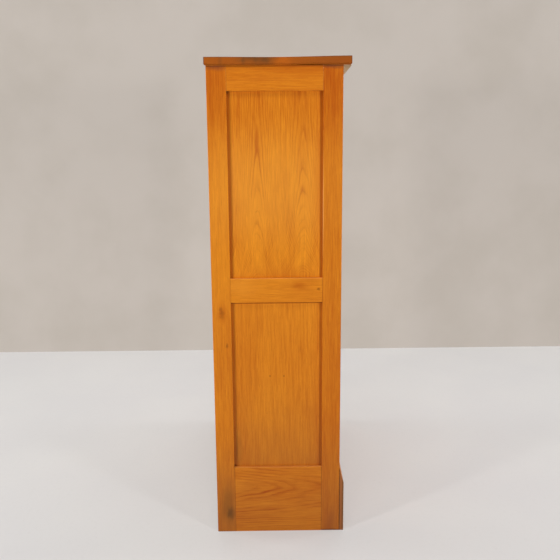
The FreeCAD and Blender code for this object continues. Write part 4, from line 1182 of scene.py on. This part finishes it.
floor_paint, web, shader, where = new_material("pale floor")
cloudy = web.ramp(web.noise(where, *CLOUD_NOISE), *CLOUD_SPAN)
colour = web.tint(cloudy, FLOOR_PALE, FLOOR_PALER)
speckle = web.ramp(web.noise(where, *SPECKLE_NOISE), *SPECKLE_SPAN)
colour = web.tint(speckle, colour, SPECKLE_GREY)
web.fill(shader, {"Base Color": colour, "Roughness": 0.75, "Specular IOR Level": 0.2})
away = web.vector("LENGTH", where, out="Value")
glow, share = (web.ramp(away, *FLOOR_FADE, *ends) for ends in (FLOOR_GLOW, FLOOR_SHARE))
corners = [(x * FLOOR_HALF, y * FLOOR_HALF, 0) for x, y in ((-1, -1), (1, -1), (1, 1), (-1, 1))]
stage_plane("floor", corners, web, floor_paint, backdrop(web, colour, glow, share))
print("floor:", 2 * FLOOR_HALF, "m square")

# %% Wall
WALL_X, WALL_HALF, WALL_TOP = 1.58, 1.9, 2.4
WALL_FADE, WALL_GLOW, WALL_SHARE = (0.2, 1.7), (0.93, 0.84), 0.7
WALL_DULL, WALL_PALE, WALL_NOISE = paint(200, 191, 181), paint(207, 198, 189), (2.2, 4, 0.55)

wall_paint, web, shader, where = new_material("pale wall")
uneven = web.ramp(web.noise(where, *WALL_NOISE), *CLOUD_SPAN)
colour = web.tint(uneven, WALL_DULL, WALL_PALE)
web.fill(shader, {"Base Color": colour, "Roughness": 0.9})
glow = web.ramp(web.parts(where)[2], *WALL_FADE, *WALL_GLOW)
front = backdrop(web, colour, glow, WALL_SHARE)
clear = web.add("BsdfTransparent")[0]
behind = web.add("NewGeometry")["Backfacing"]
corners = [(WALL_X, y * WALL_HALF, z * WALL_TOP) for y, z in ((-1, 0), (-1, 1), (1, 1), (1, 0))]
stage_plane("wall", corners, web, wall_paint, web.add("MixShader", [behind, front, clear])[0])
print("wall:", 2 * WALL_HALF, "m wide and", WALL_TOP, "m high")

# %% [markdown]
# ## Lamps
#
# Two small lamps to the left and right of the camera light the side, which gives the thin shadow inside
# each edge of the panels, and a third above softens it. The two hang level with the top, so that its
# lacquer doesn't glare. Larger lamps light the top and the sides that the picture doesn't show. A bright
# sky could do it alone, but an even light shows no edges.

# %% Lamps
SIDE_AIM = (-0.48, 0, 0.9)
# Each lamp's place, aim, size in metres and power in watts
LAMPS = {
    "right lamp": ((-3.1, -2.7, 1.6), SIDE_AIM, 0.4, 60),
    "left lamp": ((-3.1, 3.6, 1.6), SIDE_AIM, 0.4, 104),
    "ceiling lamp": ((-1.7, 0.2, 3.6), SIDE_AIM, 0.8, 25),
    "overhead": ((0.9, 0, 3.8), (0.3, 0, 1.5), 2, 45),
    "front lamp": ((0.7, -4.2, 2.4), (0, -0.2, 0.8), 1.2, 66),
    "back lamp": ((0.7, 4.2, 2.4), (0, 0.2, 0.8), 1.2, 66),
    "far lamp": ((4.2, 0, 2.4), (0.48, 0, 0.8), 1.2, 84),
}
for name, (where, aim, size, power) in LAMPS.items():
    light = bpy.data.lights.new(name, "AREA")
    light.size = size
    light.energy = power
    lamp = add_object(name, light)
    lamp.location = where
    lamp.rotation_euler = (Vector(aim) - Vector(where)).to_track_quat("-Z", "Y").to_euler()
print("lamps:", len(LAMPS))

# %% Sky
SKY, SKY_LIGHT, SKY_SEEN = paint(226, 222, 217), 0.045, 0.85
world = bpy.data.worlds.new("studio")
bpy.context.scene.world = world
world.use_nodes = True
web = Web(world.node_tree)
strength = web.ramp(seen_ray(web), 0, 1, SKY_LIGHT, SKY_SEEN)
web.fill(world.node_tree.nodes["Background"].inputs, {"Color": SKY, "Strength": strength})
bpy.context.scene.view_settings.view_transform = "Standard"
print("sky: lights with", SKY_LIGHT, "and is seen with", SKY_SEEN)

# %% Nodes left without a finish
bare = [name for name in nodes if name not in dressed and not nodes[name].hide_render]
print("nodes without a finish:", bare)
